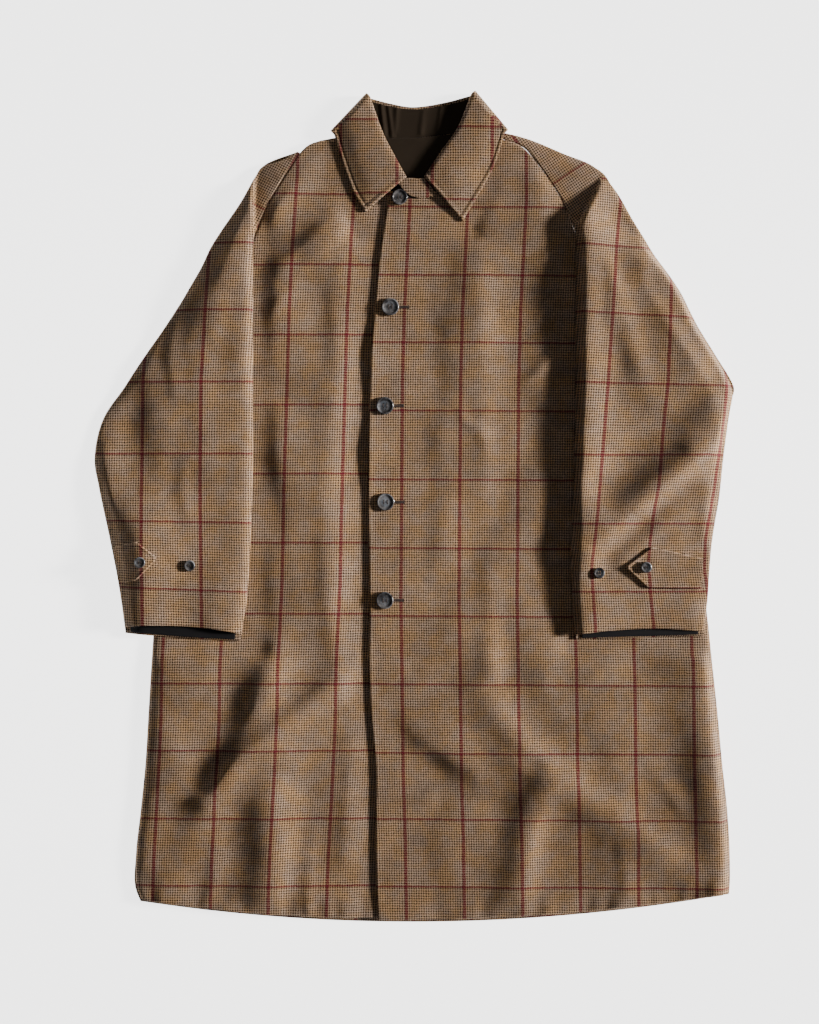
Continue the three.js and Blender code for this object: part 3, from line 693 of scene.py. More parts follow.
# Where the red lines of the check run on each panel, judged by the photo: x at a few places along y,
# the distance between two lines, and y of each cross line
LINE_LEFT_FRONT = table("""
  y x
  -521 -9
  -420 -10.5
  -340 -13
  -215 -14.5
  -118 -16
  19 -15
  160 -14
  250 -11.5
  386 -4.3""")
LINE_RIGHT_FRONT = table("""
  y x
  -514 -110
  -440 -107.5
  -350 -102.4
  -272 -98.7
  -195 -97.4
  -95 -92.4
  -16 -91
  70 -88.6
  160 -86
  247 -83.5
  340 -78.5
  420 -73""")
ROWS_LEFT_FRONT = np.array([-478, -393, -309.5, -223, -137, -51.5, 35, 122, 208, 293, 379])
ROWS_RIGHT_FRONT = np.array([-476.6, -392, -306.5, -222, -134, -44.4, 42.5, 129.5, 217.7, 306, 395])
LINE_LEFT_SLEEVE = table("""
  y x
  -151 228
  -77 223
  26 234
  156 244
  316 254
  383 261""")
PITCH_LEFT_SLEEVE = table("""
  y x
  -151 74
  -40 70
  68 74
  156 75
  280 72""")
LINE_RIGHT_SLEEVE = table("""
  y x
  -148 268
  19 270
  160 268.5
  322 259""")
ROWS_LEFT_SLEEVE = np.array([-191, -106, -20.5, 66, 155, 241, 326, 412])
ROWS_RIGHT_SLEEVE = np.array([-190, -103, -18, 67.5, 158, 248.5, 333, 418])


def count_rows(rows, y):
    """Row lines counted from 0 along y, and evenly on past both ends."""
    places = np.concatenate([[rows[0] - 860], rows, [rows[-1] + 860]])
    counts = np.concatenate([[-10], np.arange(len(rows)), [len(rows) + 9]])
    return np.interp(y, places, counts)


def check_left_front(x, y):
    line = np.interp(y, LINE_LEFT_FRONT["y"], LINE_LEFT_FRONT["x"])
    return (x - line) / PANE_ACROSS, count_rows(ROWS_LEFT_FRONT, y + 0.006 * x)


def check_right_front(x, y):
    line = np.interp(y, LINE_RIGHT_FRONT["y"], LINE_RIGHT_FRONT["x"])
    return (x - line) / PANE_ACROSS, count_rows(ROWS_RIGHT_FRONT, y)


def check_back(x, y):
    return x / PANE_ACROSS, y / PANE_ALONG


def check_left_sleeve(x, y):
    line = np.interp(y, LINE_LEFT_SLEEVE["y"], LINE_LEFT_SLEEVE["x"])
    pitch = np.interp(y, PITCH_LEFT_SLEEVE["y"], PITCH_LEFT_SLEEVE["x"])
    return (x - line) / pitch, count_rows(ROWS_LEFT_SLEEVE, y + 0.05 * (x - 300) * smooth((y - 60) / 200))


def check_right_sleeve(x, y):
    line = np.interp(y, LINE_RIGHT_SLEEVE["y"], LINE_RIGHT_SLEEVE["x"])
    return (x - line) / 74.0, count_rows(ROWS_RIGHT_SLEEVE, y + 0.04 * (300 - x) * smooth((30 - y) / 120))


def turned_check(origin, direction):
    """A check whose lengthwise lines follow a direction, such as that of a seam."""
    ux, uy = np.array(direction) / np.hypot(*direction)

    def place(x, y):
        dx = x - origin[0]
        dy = y - origin[1]
        return (dx * uy - dy * ux) / PANE_ACROSS, (dx * ux + dy * uy) / PANE_ALONG

    return place


# Grids of cloth


def through(values, spots, at):
    """A smooth curve through values at spots, read at other spots."""
    slopes = np.gradient(values, spots)
    i = np.clip(np.searchsorted(spots, at) - 1, 0, len(spots) - 2)
    span = spots[i + 1] - spots[i]
    t = (at - spots[i]) / span
    a = (1 + 2 * t) * (1 - t) ** 2
    b = t * (1 - t) ** 2
    c = t * t * (3 - 2 * t)
    d = t * t * (t - 1)
    return a * values[i] + b * span * slopes[i] + c * values[i + 1] + d * span * slopes[i + 1]


RIM_PLACES = np.array([0.0, 0.5, 1.2, 2.2, 3.6])
RIM_REACH = 5.5


def places_along(total, step):
    """Distances from 0 to total, close together at both ends."""
    count = max(2, int(round((total - 2 * RIM_REACH) / step)) + 1)
    inside = np.linspace(RIM_REACH, total - RIM_REACH, count)
    return np.concatenate([RIM_PLACES, inside, total - RIM_PLACES[::-1]])


def row_spots(rows):
    """How far along the panel each row of its table lies."""
    mx = (rows["xl"] + rows["xr"]) / 2
    my = (rows["yl"] + rows["yr"]) / 2 + rows["bow"]
    return np.concatenate([[0], np.cumsum(np.hypot(np.diff(mx), np.diff(my)))])


def sections_at(rows, at):
    spots = row_spots(rows)
    return {key: through(rows[key], spots, at) for key in rows}


# Shares of a wall that its upper and lower edges round off
TOP_ROUNDING = 0.62
LOW_ROUNDING = 0.22


def rounding(distance, radius):
    """1 on the rim, falling to 0 at the radius, as the side of a quarter circle."""
    t = 1 - np.clip(distance / radius, 0, 1)
    return 1 - np.sqrt(1 - t * t)


def sheet_faces(rows, columns):
    """Quads of the outer side, the inner side and the rim of a closed sheet."""
    index = np.arange(rows * columns).reshape(rows, columns)
    a = index[:-1, :-1].ravel()
    b = index[:-1, 1:].ravel()
    c = index[1:, 1:].ravel()
    d = index[1:, :-1].ravel()
    half = rows * columns
    outer = np.stack([a, b, c, d], 1)
    inner = np.stack([a, d, c, b], 1) + half
    rim = np.concatenate([index[0, :-1], index[:-1, -1], index[-1, :0:-1], index[:0:-1, 0]])
    after = np.roll(rim, -1)
    side = np.stack([after, rim, rim + half, after + half], 1)
    return np.concatenate([outer, inner, side])


def new_object(name, data):
    """A new object in the scene."""
    obj = bpy.data.objects.new(name, data)
    bpy.context.scene.collection.objects.link(obj)
    return obj


def make_object(name, points, faces, uv=None, material=None):
    """A mesh object in metres from points in millimetres, with outward faces."""
    faces = np.asarray(faces)
    flip = False
    if faces.shape[1] == 4:
        p = points[faces]
        volume = np.einsum("ij,ij->i", p[:, 0], np.cross(p[:, 1], p[:, 2])).sum()
        volume += np.einsum("ij,ij->i", p[:, 0], np.cross(p[:, 2], p[:, 3])).sum()
        flip = volume < 0
    if flip:
        faces = faces[:, ::-1]
    mesh = bpy.data.meshes.new(name)
    mesh.from_pydata((points * MM).tolist(), [], faces.tolist())
    mesh.polygons.foreach_set("use_smooth", np.ones(len(mesh.polygons), bool))
    if uv is not None:
        layer = mesh.uv_layers.new(name="Check")
        corner = uv(points[faces], faces)
        layer.data.foreach_set("uv", corner.reshape(-1, 2).ravel())
    mesh.update()
    obj = new_object(name, mesh)
    if material is not None:
        mesh.materials.append(material)
    return obj


class Panel:
    """A cloth wall over the sections of a table, finer than its solid."""

    def __init__(self, name, rows, step, wall, under, side=1, edge_radius=1.6, detail=None):
        self.name = name
        self.rows = rows
        self.wall = wall
        self.under = under
        self.side = side
        self.detail = detail
        self.length = row_spots(rows)[-1]
        self.step = step
        self.edge_radius = edge_radius

    def place(self, spot, share):
        """x and y at a distance along and a share across, with the width there."""
        s = sections_at(self.rows, spot)
        width = np.hypot(s["xr"] - s["xl"], s["yr"] - s["yl"])
        x = mix(s["xl"], s["xr"], share)
        y = mix(s["yl"], s["yr"], share) + s["bow"] * 4 * share * (1 - share)
        return x, y, width

    def height(self, x, y, from_left, from_right, from_low, from_high):
        z = self.under(x, y, from_left, from_right)
        if self.detail is not None:
            z = z + self.detail(x, y, from_left, from_right, from_low, from_high)
        return z

    def line(self, spots, inset, from_left=True):
        """Points on the upper side along an edge, at a distance from it."""
        width = self.place(spots, np.zeros_like(spots))[2]
        share = inset / width if from_left else 1 - inset / width
        return self.on_top(spots, share)

    def on_top(self, spots, share):
        x, y, width = self.place(spots, share)
        left = share * width
        z = self.height(x, y, left, width - left, spots, self.length - spots) + self.wall
        return np.stack([self.side * x, y, z], 1)

    def build(self, check, material):
        along = places_along(self.length, self.step)
        widest = np.hypot(self.rows["xr"] - self.rows["xl"], self.rows["yr"] - self.rows["yl"]).max()
        columns = places_along(widest, self.step)
        inner = len(columns) - 2 * len(RIM_PLACES)
        ease = np.linspace(0, 1, inner)
        s = {key: value[:, None] for key, value in sections_at(self.rows, along).items()}
        width = np.hypot(s["xr"] - s["xl"], s["yr"] - s["yl"])
        rim_reach = np.minimum(RIM_REACH, width * 0.3)
        rim = RIM_PLACES / RIM_REACH * rim_reach
        middle = rim_reach + ease * (width - 2 * rim_reach)
        left = np.concatenate([rim, middle, width - rim[:, ::-1]], 1)
        share = left / width
        x = mix(s["xl"], s["xr"], share)
        y = mix(s["yl"], s["yr"], share) + s["bow"] * 4 * share * (1 - share)
        low = along[:, None] + 0 * x
        high = self.length - low
        z = self.height(x, y, left, width - left, low, high)
        rim_distance = np.minimum(np.minimum(left, width - left), np.minimum(low, high))
        turn = rounding(rim_distance, self.edge_radius)
        top = z + self.wall - TOP_ROUNDING * self.wall * turn
        bottom = z + LOW_ROUNDING * self.wall * turn
        outer = np.stack([self.side * x, y, top], 2).reshape(-1, 3)
        inner_points = np.stack([self.side * x, y, bottom], 2).reshape(-1, 3)
        points = np.concatenate([outer, inner_points])
        faces = sheet_faces(*x.shape)
        middle_width = (width[1:, 0] + width[:-1, 0]) / 2
        self.area = float((middle_width * np.diff(along)).sum()) * MM * MM
        self.flat = (float(widest) * MM, float(self.length) * MM)

        def uv(corners, _faces):
            cx = self.side * corners[..., 0]
            cy = corners[..., 1]
            return np.stack(check(cx, cy), -1)

        self.object = make_object(self.name, points, faces, uv, material)
        return self.object


def tube_faces(rings, sides):
    """Quads between the rings of a tube, without its ends."""
    grid = np.arange(rings * sides).reshape(rings, sides)
    a = grid[:-1]
    b = grid[1:]
    return np.stack([a, np.roll(a, -1, 1), np.roll(b, -1, 1), b], 2).reshape(-1, 4)


def directions_round(sides, across, up):
    """Directions from the middle of a thread to its sides."""
    turn = np.linspace(0, 2 * math.pi, sides, endpoint=False)[:, None]
    return np.cos(turn) * across + np.sin(turn) * up


THREAD_SIDES = 6
CORD_SIDES = 8
# A stitch: places along it, and its thickness and height there as shares of its radius
STITCH_SHARES = np.array([0.0, 0.16, 0.5, 0.84, 1.0])
STITCH_SWELL = np.array([0.25, 0.9, 1.0, 0.9, 0.25])
STITCH_DIP = np.array([-0.9, -0.1, 0.25, -0.1, -0.9])


def thread_runs(points, length, gap, radius, lift):
    """Short stitches along a line of points, as one set of points and faces."""
    steps = np.linalg.norm(np.diff(points, axis=0), axis=1)
    spots = np.concatenate([[0], np.cumsum(steps)])
    starts = np.arange(gap, spots[-1] - length, length + gap)
    rings = len(STITCH_SHARES)
    all_points = []
    for start in starts:
        at = start + STITCH_SHARES * length
        centre = np.stack([np.interp(at, spots, points[:, k]) for k in range(3)], 1)
        direction = centre[-1] - centre[0]
        direction = direction / np.linalg.norm(direction)
        across = np.array([-direction[1], direction[0], 0.0])
        across = across / np.linalg.norm(across)
        centre[:, 2] += lift + STITCH_DIP * radius
        offset = directions_round(THREAD_SIDES, across, np.array([0, 0, 1.0]))
        offset = offset * (radius * STITCH_SWELL)[:, None, None]
        all_points.append((centre[:, None, :] + offset).reshape(-1, 3))
    size = rings * THREAD_SIDES
    last = size - THREAD_SIDES
    first_cap = np.array([[0, 5, 4, 3], [0, 3, 2, 1]])
    last_cap = last + np.array([[0, 1, 2, 3], [0, 3, 4, 5]])
    one = np.concatenate([tube_faces(rings, THREAD_SIDES), first_cap, last_cap])
    faces = (np.arange(len(starts)) * size)[:, None, None] + one[None]
    return np.concatenate(all_points), faces.reshape(-1, 4)


def join_runs(name, runs, material):
    """Several sets of points and faces as one object."""
    shift = 0
    points = []
    faces = []
    for run_points, run_faces in runs:
        points.append(run_points)
        faces.append(run_faces + shift)
        shift += len(run_points)
    return make_object(name, np.concatenate(points), np.concatenate(faces), None, material)


# Materials


class Nodes:
    """Short calls for building a material's nodes."""

    def __init__(self, name):
        self.material = bpy.data.materials.new(name)
        self.material.use_nodes = True
        self.tree = self.material.node_tree
        self.shader = self.tree.nodes["Principled BSDF"]

    def new(self, kind, **settings):
        node = self.tree.nodes.new(kind)
        for key, value in settings.items():
            setattr(node, key, value)
        return node

    def feed(self, socket, value):
        if isinstance(value, bpy.types.NodeSocket):
            self.tree.links.new(value, socket)
        else:
            socket.default_value = value

    def give(self, values, node=None):
        """Fixed values for a node's sockets; without a node, for the shader's."""
        target = self.shader if node is None else node
        for socket, value in values.items():
            target.inputs[socket].default_value = value

    def math(self, operation, a, b=0.0, c=0.0):
        node = self.new("ShaderNodeMath", operation=operation)
        for socket, value in zip(node.inputs, (a, b, c)):
            self.feed(socket, value)
        return node.outputs[0]

    def mix(self, share, a, b, blend="MIX"):
        node = self.new("ShaderNodeMix", data_type="RGBA", blend_type=blend)
        self.feed(node.inputs["Factor"], share)
        self.feed(node.inputs[6], a)
        self.feed(node.inputs[7], b)
        return node.outputs[2]

    def blend_value(self, share, a, b):
        node = self.new("ShaderNodeMix", data_type="FLOAT")
        self.feed(node.inputs["Factor"], share)
        self.feed(node.inputs[2], a)
        self.feed(node.inputs[3], b)
        return node.outputs[0]

    def noise(self, vector, scale, detail=2.0, roughness=0.5):
        node = self.new("ShaderNodeTexNoise")
        self.feed(node.inputs["Vector"], vector)
        self.give({"Scale": scale, "Detail": detail, "Roughness": roughness}, node)
        return node.outputs["Fac"]

    def bump(self, height, strength, distance, normal=None):
        node = self.new("ShaderNodeBump")
        self.feed(node.inputs["Height"], height)
        self.give({"Strength": strength, "Distance": distance}, node)
        if normal is not None:
            self.feed(node.inputs["Normal"], normal)
        return node.outputs["Normal"]

    def place(self):
        """Object coordinates in metres."""
        return self.new("ShaderNodeTexCoord").outputs["Object"]

    def offset(self, vector, by):
        node = self.new("ShaderNodeVectorMath", operation="ADD")
        self.feed(node.inputs[0], vector)
        node.inputs[1].default_value = by
        return node.outputs[0]


# The colours of the yarns, and how far the red reaches on both sides of a line's middle
DARK_WOOL = (0.024, 0.012, 0.006, 1)
GOLD_WOOL = (0.52, 0.315, 0.16, 1)
GREY_WOOL = (0.47, 0.33, 0.235, 1)
RED_WOOL = (0.105, 0.006, 0.014, 1)
RED_ACROSS = 2.1
RED_ALONG = 1.2


def wool_check(name):
    """Wool in a small houndstooth of dark and tan with a red windowpane line, woven in the shader."""
    n = Nodes(name)
    separate = n.new("ShaderNodeSeparateXYZ")
    uv = n.new("ShaderNodeUVMap", uv_map="Check").outputs[0]
    wobble_node = n.new("ShaderNodeTexNoise")
    n.feed(wobble_node.inputs["Vector"], uv)
    n.give({"Scale": 9.0}, wobble_node)
    wobble = n.new("ShaderNodeVectorMath", operation="MULTIPLY_ADD")
    n.feed(wobble.inputs[0], wobble_node.outputs["Color"])
    wobble.inputs[1].default_value = (0.016, 0.016, 0.0)
    n.feed(wobble.inputs[2], uv)
    n.feed(separate.inputs[0], wobble.outputs[0])
    u = separate.outputs[0]
    v = separate.outputs[1]
    warp = n.math("MULTIPLY", u, THREADS_ACROSS)
    weft = n.math("MULTIPLY", v, THREADS_ALONG)
    i = n.math("FLOOR", warp)
    j = n.math("FLOOR", weft)
    warp_dark = n.math("LESS_THAN", n.math("FLOORED_MODULO", i, 8), 4)
    weft_dark = n.math("LESS_THAN", n.math("FLOORED_MODULO", j, 8), 4)
    twill = n.math("LESS_THAN", n.math("FLOORED_MODULO", n.math("SUBTRACT", i, j), 4), 2)
    dark = n.blend_value(twill, weft_dark, warp_dark)
    from_warp_line = n.math("PINGPONG", u, 0.5)
    from_weft_line = n.math("PINGPONG", v, 0.5)
    warp_red = n.math("LESS_THAN", from_warp_line, RED_ACROSS / PANE_ACROSS)
    weft_red = n.math("LESS_THAN", from_weft_line, RED_ALONG / PANE_ALONG)
    lean = n.math("FLOORED_MODULO", n.math("SUBTRACT", i, j), 4)
    warp_red = n.math("MULTIPLY", warp_red, n.math("LESS_THAN", lean, 3))
    weft_red = n.math("MULTIPLY", weft_red, n.math("GREATER_THAN", lean, 0.5))
    red = n.math("MAXIMUM", warp_red, weft_red)
    place = n.place()
    heather = n.noise(place, 900.0, 2.0, 0.6)
    patches = n.noise(place, 34.0, 5.0, 0.62)
    stretched = n.new("ShaderNodeVectorMath", operation="MULTIPLY")
    n.feed(stretched.inputs[0], uv)
    stretched.inputs[1].default_value = (70.0, 16.0, 1.0)
    slub = n.noise(stretched.outputs[0], 1.0)
    tone = n.noise(n.offset(place, (3.1, 1.7, 0.4)), 48.0, 4.0, 0.6)
    tone_share = n.math("MULTIPLY_ADD", tone, 4.0, -1.5)
    light = n.mix(tone_share, GOLD_WOOL, GREY_WOOL)
    cloth = n.mix(dark, light, DARK_WOOL)
    cloth = n.mix(red, cloth, RED_WOOL)
    light_share = n.math("MULTIPLY_ADD", heather, 1.5, 0.25)
    light_share = n.math("MULTIPLY", light_share, n.math("MULTIPLY_ADD", slub, 0.6, 0.70))
    light_share = n.math("MULTIPLY", light_share, n.math("MULTIPLY_ADD", patches, 1.1, 0.45))
    grey = n.new("ShaderNodeCombineColor")
    for socket in grey.inputs:
        n.feed(socket, light_share)
    cloth = n.mix(1.0, cloth, grey.outputs[0], "MULTIPLY")
    n.feed(n.shader.inputs["Base Color"], cloth)
    ridge_warp = n.math("PINGPONG", warp, 0.5)
    ridge_weft = n.math("PINGPONG", weft, 0.5)
    ridge = n.blend_value(twill, ridge_weft, ridge_warp)
    fuzz = n.noise(place, 420.0, 5.0, 0.7)
    normal = n.bump(fuzz, 0.35, 0.0008)
    n.feed(n.shader.inputs["Normal"], n.bump(ridge, 0.5, 0.0004, normal))
    n.give({
        "Roughness": 0.92,
        "Specular IOR Level": 0.18,
        "Sheen Weight": 0.18,
        "Sheen Roughness": 0.45,
        "Sheen Tint": (0.85, 0.7, 0.55, 1),
    })
    return n.material


def plain_cloth(name, colour, second, scale, roughness, sheen):
    """Plain woven lining: fine threads, uneven colour and a soft sheen."""
    n = Nodes(name)
    place = n.place()
    waves = []
    for direction in ("X", "Y"):
        wave = n.new("ShaderNodeTexWave", bands_direction=direction)
        n.feed(wave.inputs["Vector"], place)
        n.give({"Scale": scale, "Distortion": 1.2, "Detail": 2.0}, wave)
        waves.append(wave.outputs["Fac"])
    weave = n.math("ADD", waves[0], waves[1])
    patches = n.noise(place, 30.0, 4.0, 0.6)
    share = n.math("MULTIPLY_ADD", weave, 0.25, n.math("MULTIPLY", patches, 0.5))
    n.feed(n.shader.inputs["Base Color"], n.mix(share, colour, second))
    n.feed(n.shader.inputs["Normal"], n.bump(weave, 0.35, 0.0003))
    n.give({"Roughness": roughness, "Sheen Weight": sheen, "Specular IOR Level": 0.18})
    return n.material


def horn(name, shift):
    """Polished dark horn with clouded streaks; its grey-blue clouds are partly horn and partly a painted
    sheen.
    """
    n = Nodes(name)
    shifted = n.offset(n.place(), shift)
    streaks = n.noise(shifted, 130.0, 5.0, 0.65)
    clouds_and_sheen = n.noise(shifted, 60.0, 2.0, 0.5)
    share = n.math("MULTIPLY", n.math("SUBTRACT", streaks, 0.42), 4.0)
    colour = n.mix(share, (0.020, 0.018, 0.019, 1), (0.15, 0.14, 0.14, 1))
    # Grey-blue clouds: partly the horn's own clouding, partly a painted sheen of reflected sky light
    share_two = n.math("MULTIPLY", n.math("SUBTRACT", clouds_and_sheen, 0.5), 3.0)
    colour = n.mix(share_two, colour, (0.22, 0.235, 0.26, 1))
    n.feed(n.shader.inputs["Base Color"], colour)
    n.feed(n.shader.inputs["Roughness"], n.math("MULTIPLY_ADD", streaks, 0.25, 0.12))
    n.give({"Specular IOR Level": 0.6, "Coat Weight": 0.4, "Coat Roughness": 0.12})
    n.feed(n.shader.inputs["Normal"], n.bump(streaks, 0.08, 0.0004))
    return n.material


def thread(name, colour, second):
    """Twisted sewing thread."""
    n = Nodes(name)
    place = n.place()
    twist = n.new("ShaderNodeTexWave", bands_direction="DIAGONAL")
    n.feed(twist.inputs["Vector"], place)
    n.give({"Scale": 700.0}, twist)
    fibres = n.noise(place, 1500.0, 3.0, 0.6)
    n.feed(n.shader.inputs["Base Color"], n.mix(fibres, colour, second))
    n.feed(n.shader.inputs["Normal"], n.bump(twist.outputs["Fac"], 0.5, 0.0002))
    n.give({"Roughness": 0.75})
    return n.material


WOOL = wool_check("wool_check_cloth")
OLIVE_DARK = (0.017, 0.010, 0.005, 1)
OLIVE_LIGHT = (0.034, 0.022, 0.012, 1)
BLACK_DARK = (0.003, 0.003, 0.004, 1)
BLACK_LIGHT = (0.009, 0.008, 0.010, 1)
LINING = plain_cloth("body_lining_cloth", OLIVE_DARK, OLIVE_LIGHT, scale=260.0, roughness=0.85, sheen=0.04)
CUFF = plain_cloth("cuff_lining_cloth", BLACK_DARK, BLACK_LIGHT, scale=420.0, roughness=0.7, sheen=0.03)
BROWN_THREAD = thread("brown_thread", (0.10, 0.058, 0.034, 1), (0.17, 0.11, 0.07, 1))
DARK_THREAD = thread("dark_thread", (0.022, 0.014, 0.012, 1), (0.06, 0.035, 0.028, 1))


# Fine form that the solids leave out: edge ridges, stitch grooves and small ripples


def stitched_edge(distance, inset=6.0, groove=0.45, ridge=0.35):
    """A turned edge: a low ridge along it and the groove of its stitching."""
    roll = ridge * np.exp(-(((distance - inset * 0.5) / (inset * 0.38)) ** 2))
    return roll - groove * np.exp(-(((distance - inset) / 1.1) ** 2))


PUCKERS = [
    (x + RANDOM.uniform(-7, 7), RANDOM.uniform(4.6, 8.0), RANDOM.uniform(0.6, 2.2), RANDOM.uniform(18, 40))
    for x in np.arange(-360, 420, 19)
]


def hem_ripples(x, from_low):
    """Small puckers that stand up from the hem, uneven in place, width, height and length."""
    total = np.zeros_like(x)
    for place, width, height, length in PUCKERS:
        total += height * np.exp(-(((x - place) / width) ** 2) - (from_low / length) ** 2)
    return (total - 0.5) * smooth(from_low / 3) * np.exp(-((from_low / 40) ** 2))


PLACKET_STITCH = 6.5
FRONT_PUCKERING = 1.25
SLEEVE_PUCKERING = 0.25


def raglan_seam(y, from_seam):
    """The hollow of the seam between a front and its sleeve."""
    return -0.7 * np.exp(-((from_seam / 1.8) ** 2)) * smooth((y - 170) / 10)


def front_left_detail(x, y, left, right, low, _high):
    ripples = FRONT_PUCKERING * hem_ripples(x, low) * smooth(left / 60)
    return stitched_edge(left, PLACKET_STITCH) + ripples + raglan_seam(y, right)


def front_right_detail(x, y, left, right, low, _high):
    return FRONT_PUCKERING * hem_ripples(x, low) * smooth(right / 80) + raglan_seam(y, left)


def sleeve_detail(x, y, _left, right, low, _high):
    overarm = -0.55 * np.exp(-(((right - 8.5) / 1.3) ** 2)) * smooth((150 - y) / 60)
    return overarm + SLEEVE_PUCKERING * hem_ripples(x, low)


def dress(piece, slot, *nodes):
    """Lets a piece ride on the coat in the place of its nodes, and hides those nodes; the slot is not used.
    """
    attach(piece, "root")
    if nodes:
        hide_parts(*nodes)
    return piece


def cap_check(hand, check, seam_check):
    """The sleeve's own check, and on the cap one that runs along the seam."""
    def place(x, y):
        p, q = check(x, y)
        ps, qs = seam_check(x, y)
        middle_x = x.mean(axis=-1, keepdims=True)
        middle_y = y.mean(axis=-1, keepdims=True)
        on_cap = (cap_share(hand, middle_x, middle_y) > 0.5) | (middle_y > hand["crease"]["y"][-1])
        return np.where(on_cap, ps, p), np.where(on_cap, qs, q)

    return place


body_back = Panel("cloth_back", BACK, STEP_HIDDEN, BODY_WALL, back_under)
body_lining = Panel(
    "cloth_back_lining", BACK_LINING, STEP_HIDDEN, LINING_WALL, lining_under, edge_radius=LINING_EDGE
)
front_right = Panel(
    "cloth_front_right", FRONT_RIGHT, STEP_BODY, BODY_WALL, front_right_under, detail=front_right_detail
)
front_left = Panel(
    "cloth_front_left", FRONT_LEFT, STEP_BODY, BODY_WALL, front_left_under, detail=front_left_detail
)
dress(body_back.build(check_back, WOOL), "wool_check", "back")
dress(body_lining.build(check_back, LINING), "body_lining", "back_lining")
dress(front_right.build(check_right_front, WOOL), "wool_check", "front_right")
dress(front_left.build(check_left_front, WOOL), "wool_check", "front_left")

SEAM_CHECK_LEFT = turned_check((120, 473), (81, -121))
SEAM_CHECK_RIGHT = turned_check((144, 447), (57, -105))
CUFF_GAP = 0.3
sleeves = {}
for label, hand, front_rows, back_rows, check, seam_check in (
    ("left", LEFT_SLEEVE, LEFT_SLEEVE_FRONT, LEFT_SLEEVE_BACK, check_left_sleeve, SEAM_CHECK_LEFT),
    ("right", RIGHT_SLEEVE, RIGHT_SLEEVE_FRONT, RIGHT_SLEEVE_BACK, check_right_sleeve, SEAM_CHECK_RIGHT),
):
    def under_back(x, y, _from_body, _from_outer, hand=hand):
        return sleeve_back_under(hand, x, y)

    def under_front(x, y, from_body, from_outer, hand=hand):
        return sleeve_front_under(hand, x, y, from_body, from_outer)

    def under_cuff(x, y, _from_body, _from_outer, hand=hand):
        return sleeve_back_under(hand, x, y) + SLEEVE_WALL + CUFF_GAP

    side = hand["side"]
    back_name = f"cloth_sleeve_{label}_back"
    front_name = f"cloth_sleeve_{label}_front"
    cuff_name = f"cloth_cuff_lining_{label}"
    back_panel = Panel(back_name, back_rows, STEP_SLEEVE_BACK, SLEEVE_WALL, under_back, side)
    front_panel = Panel(
        front_name, front_rows, STEP_SLEEVE, SLEEVE_WALL, under_front, side, detail=sleeve_detail
    )
    first = {key: value[:2] for key, value in back_rows.items()}
    cuff_rows = {key: mix(value[0], value[1], np.array([0.03, 1.0])) for key, value in first.items()}
    span = cuff_rows["xr"] - cuff_rows["xl"]
    cuff_rows["xl"] = cuff_rows["xl"] + 0.05 * span
    cuff_rows["xr"] = cuff_rows["xr"] - 0.05 * span
    cuff_panel = Panel(
        cuff_name, cuff_rows, STEP_CUFF, LINING_WALL, under_cuff, side, edge_radius=LINING_EDGE
    )
    dress(back_panel.build(check, WOOL), "wool_check", f"sleeve_{label}_back")
    front_check = cap_check(hand, check, seam_check)
    dress(front_panel.build(front_check, WOOL), "wool_check", f"sleeve_{label}_front")
    dress(cuff_panel.build(check, CUFF), "cuff_lining", f"cuff_lining_{label}")
    sleeves[label] = dict(front=front_panel, back=back_panel, cuff=cuff_panel, hand=hand, check=check)


# The collar


def stations(rows, step):
    """Rulings of a collar part, closely spaced along it."""
    mx = (rows["xr"] + rows["xe"]) / 2
    my = (rows["yr"] + rows["ye"]) / 2
    spots = np.concatenate([[0], np.cumsum(np.hypot(np.diff(mx), np.diff(my)))])
    at = np.linspace(0, spots[-1], max(3, int(round(spots[-1] / step)) + 1))
    return {key: through(value, spots, at) for key, value in rows.items()}


# The parts of a band in their order round the neck
FIRST_LEAF, FIRST_TURN, NECK_PART, LAST_TURN, LAST_LEAF = range(5)


def collar_band(first, back, second, wall, back_height, step, shares, detail):
    """Outer and inner points of a band that folds round both sides of the neck, and the part of
    the band that each station belongs to."""
    outer = []
    inner = []
    labels = []

    def emit(x, y, z, inward, label):
        outer.append(np.stack([x, y, z], 1))
        inner.append(outer[-1] + inward * wall)
        labels.append(label)

    def leaf(rows, label):
        s = stations(rows, step)
        tip = 0 if label == FIRST_LEAF else -1
        for k in range(len(s["xr"])):
            x = mix(s["xr"][k], s["xe"][k], shares)
            y = mix(s["yr"][k], s["ye"][k], shares)
            z = mix(s["zr"][k], s["ze"][k], shares)
            if label == NECK_PART:
                emit(x, y, z + back_height, np.array([0, 0, 1.0]), label)
            else:
                end = np.hypot(s["xr"][k] - rows["xr"][tip], s["yr"][k] - rows["yr"][tip])
                emit(x, y, z + detail(shares, end), np.array([0, 0, -1.0]), label)

    def turn(rows, index, side, falling, label, count=10):
        xr, yr, xe, ye = (rows[key][index] for key in ("xr", "yr", "xe", "ye"))
        z = mix(rows["zr"][index], rows["ze"][index], shares)
        along = np.array([xe - xr, ye - yr]) / np.hypot(xe - xr, ye - yr)
        out = np.array([-along[1], along[0]])
        if out[0] * side < 0:
            out = -out
        radius = (z - back_height) / 2
        for k in range(1, count):
            angle = (1 if falling else -1) * math.pi * (0.5 - k / count)
            reach = np.array([out[0] * math.cos(angle), out[1] * math.cos(angle), math.sin(angle)])
            x = mix(xr, xe, shares) + radius * reach[0]
            y = mix(yr, ye, shares) + radius * reach[1]
            emit(x, y, back_height + radius + radius * reach[2], -reach, label)

    flat_back = dict(back)
    flat_back["zr"] = back["zr"] * 0
    flat_back["ze"] = back["ze"] * 0
    leaf(first, FIRST_LEAF)
    turn(first, index=-1, side=-1, falling=True, label=FIRST_TURN)
    leaf(flat_back, NECK_PART)
    turn(second, index=0, side=1, falling=False, label=LAST_TURN)
    leaf(second, LAST_LEAF)
    return np.array(outer), np.array(inner), np.array(labels)


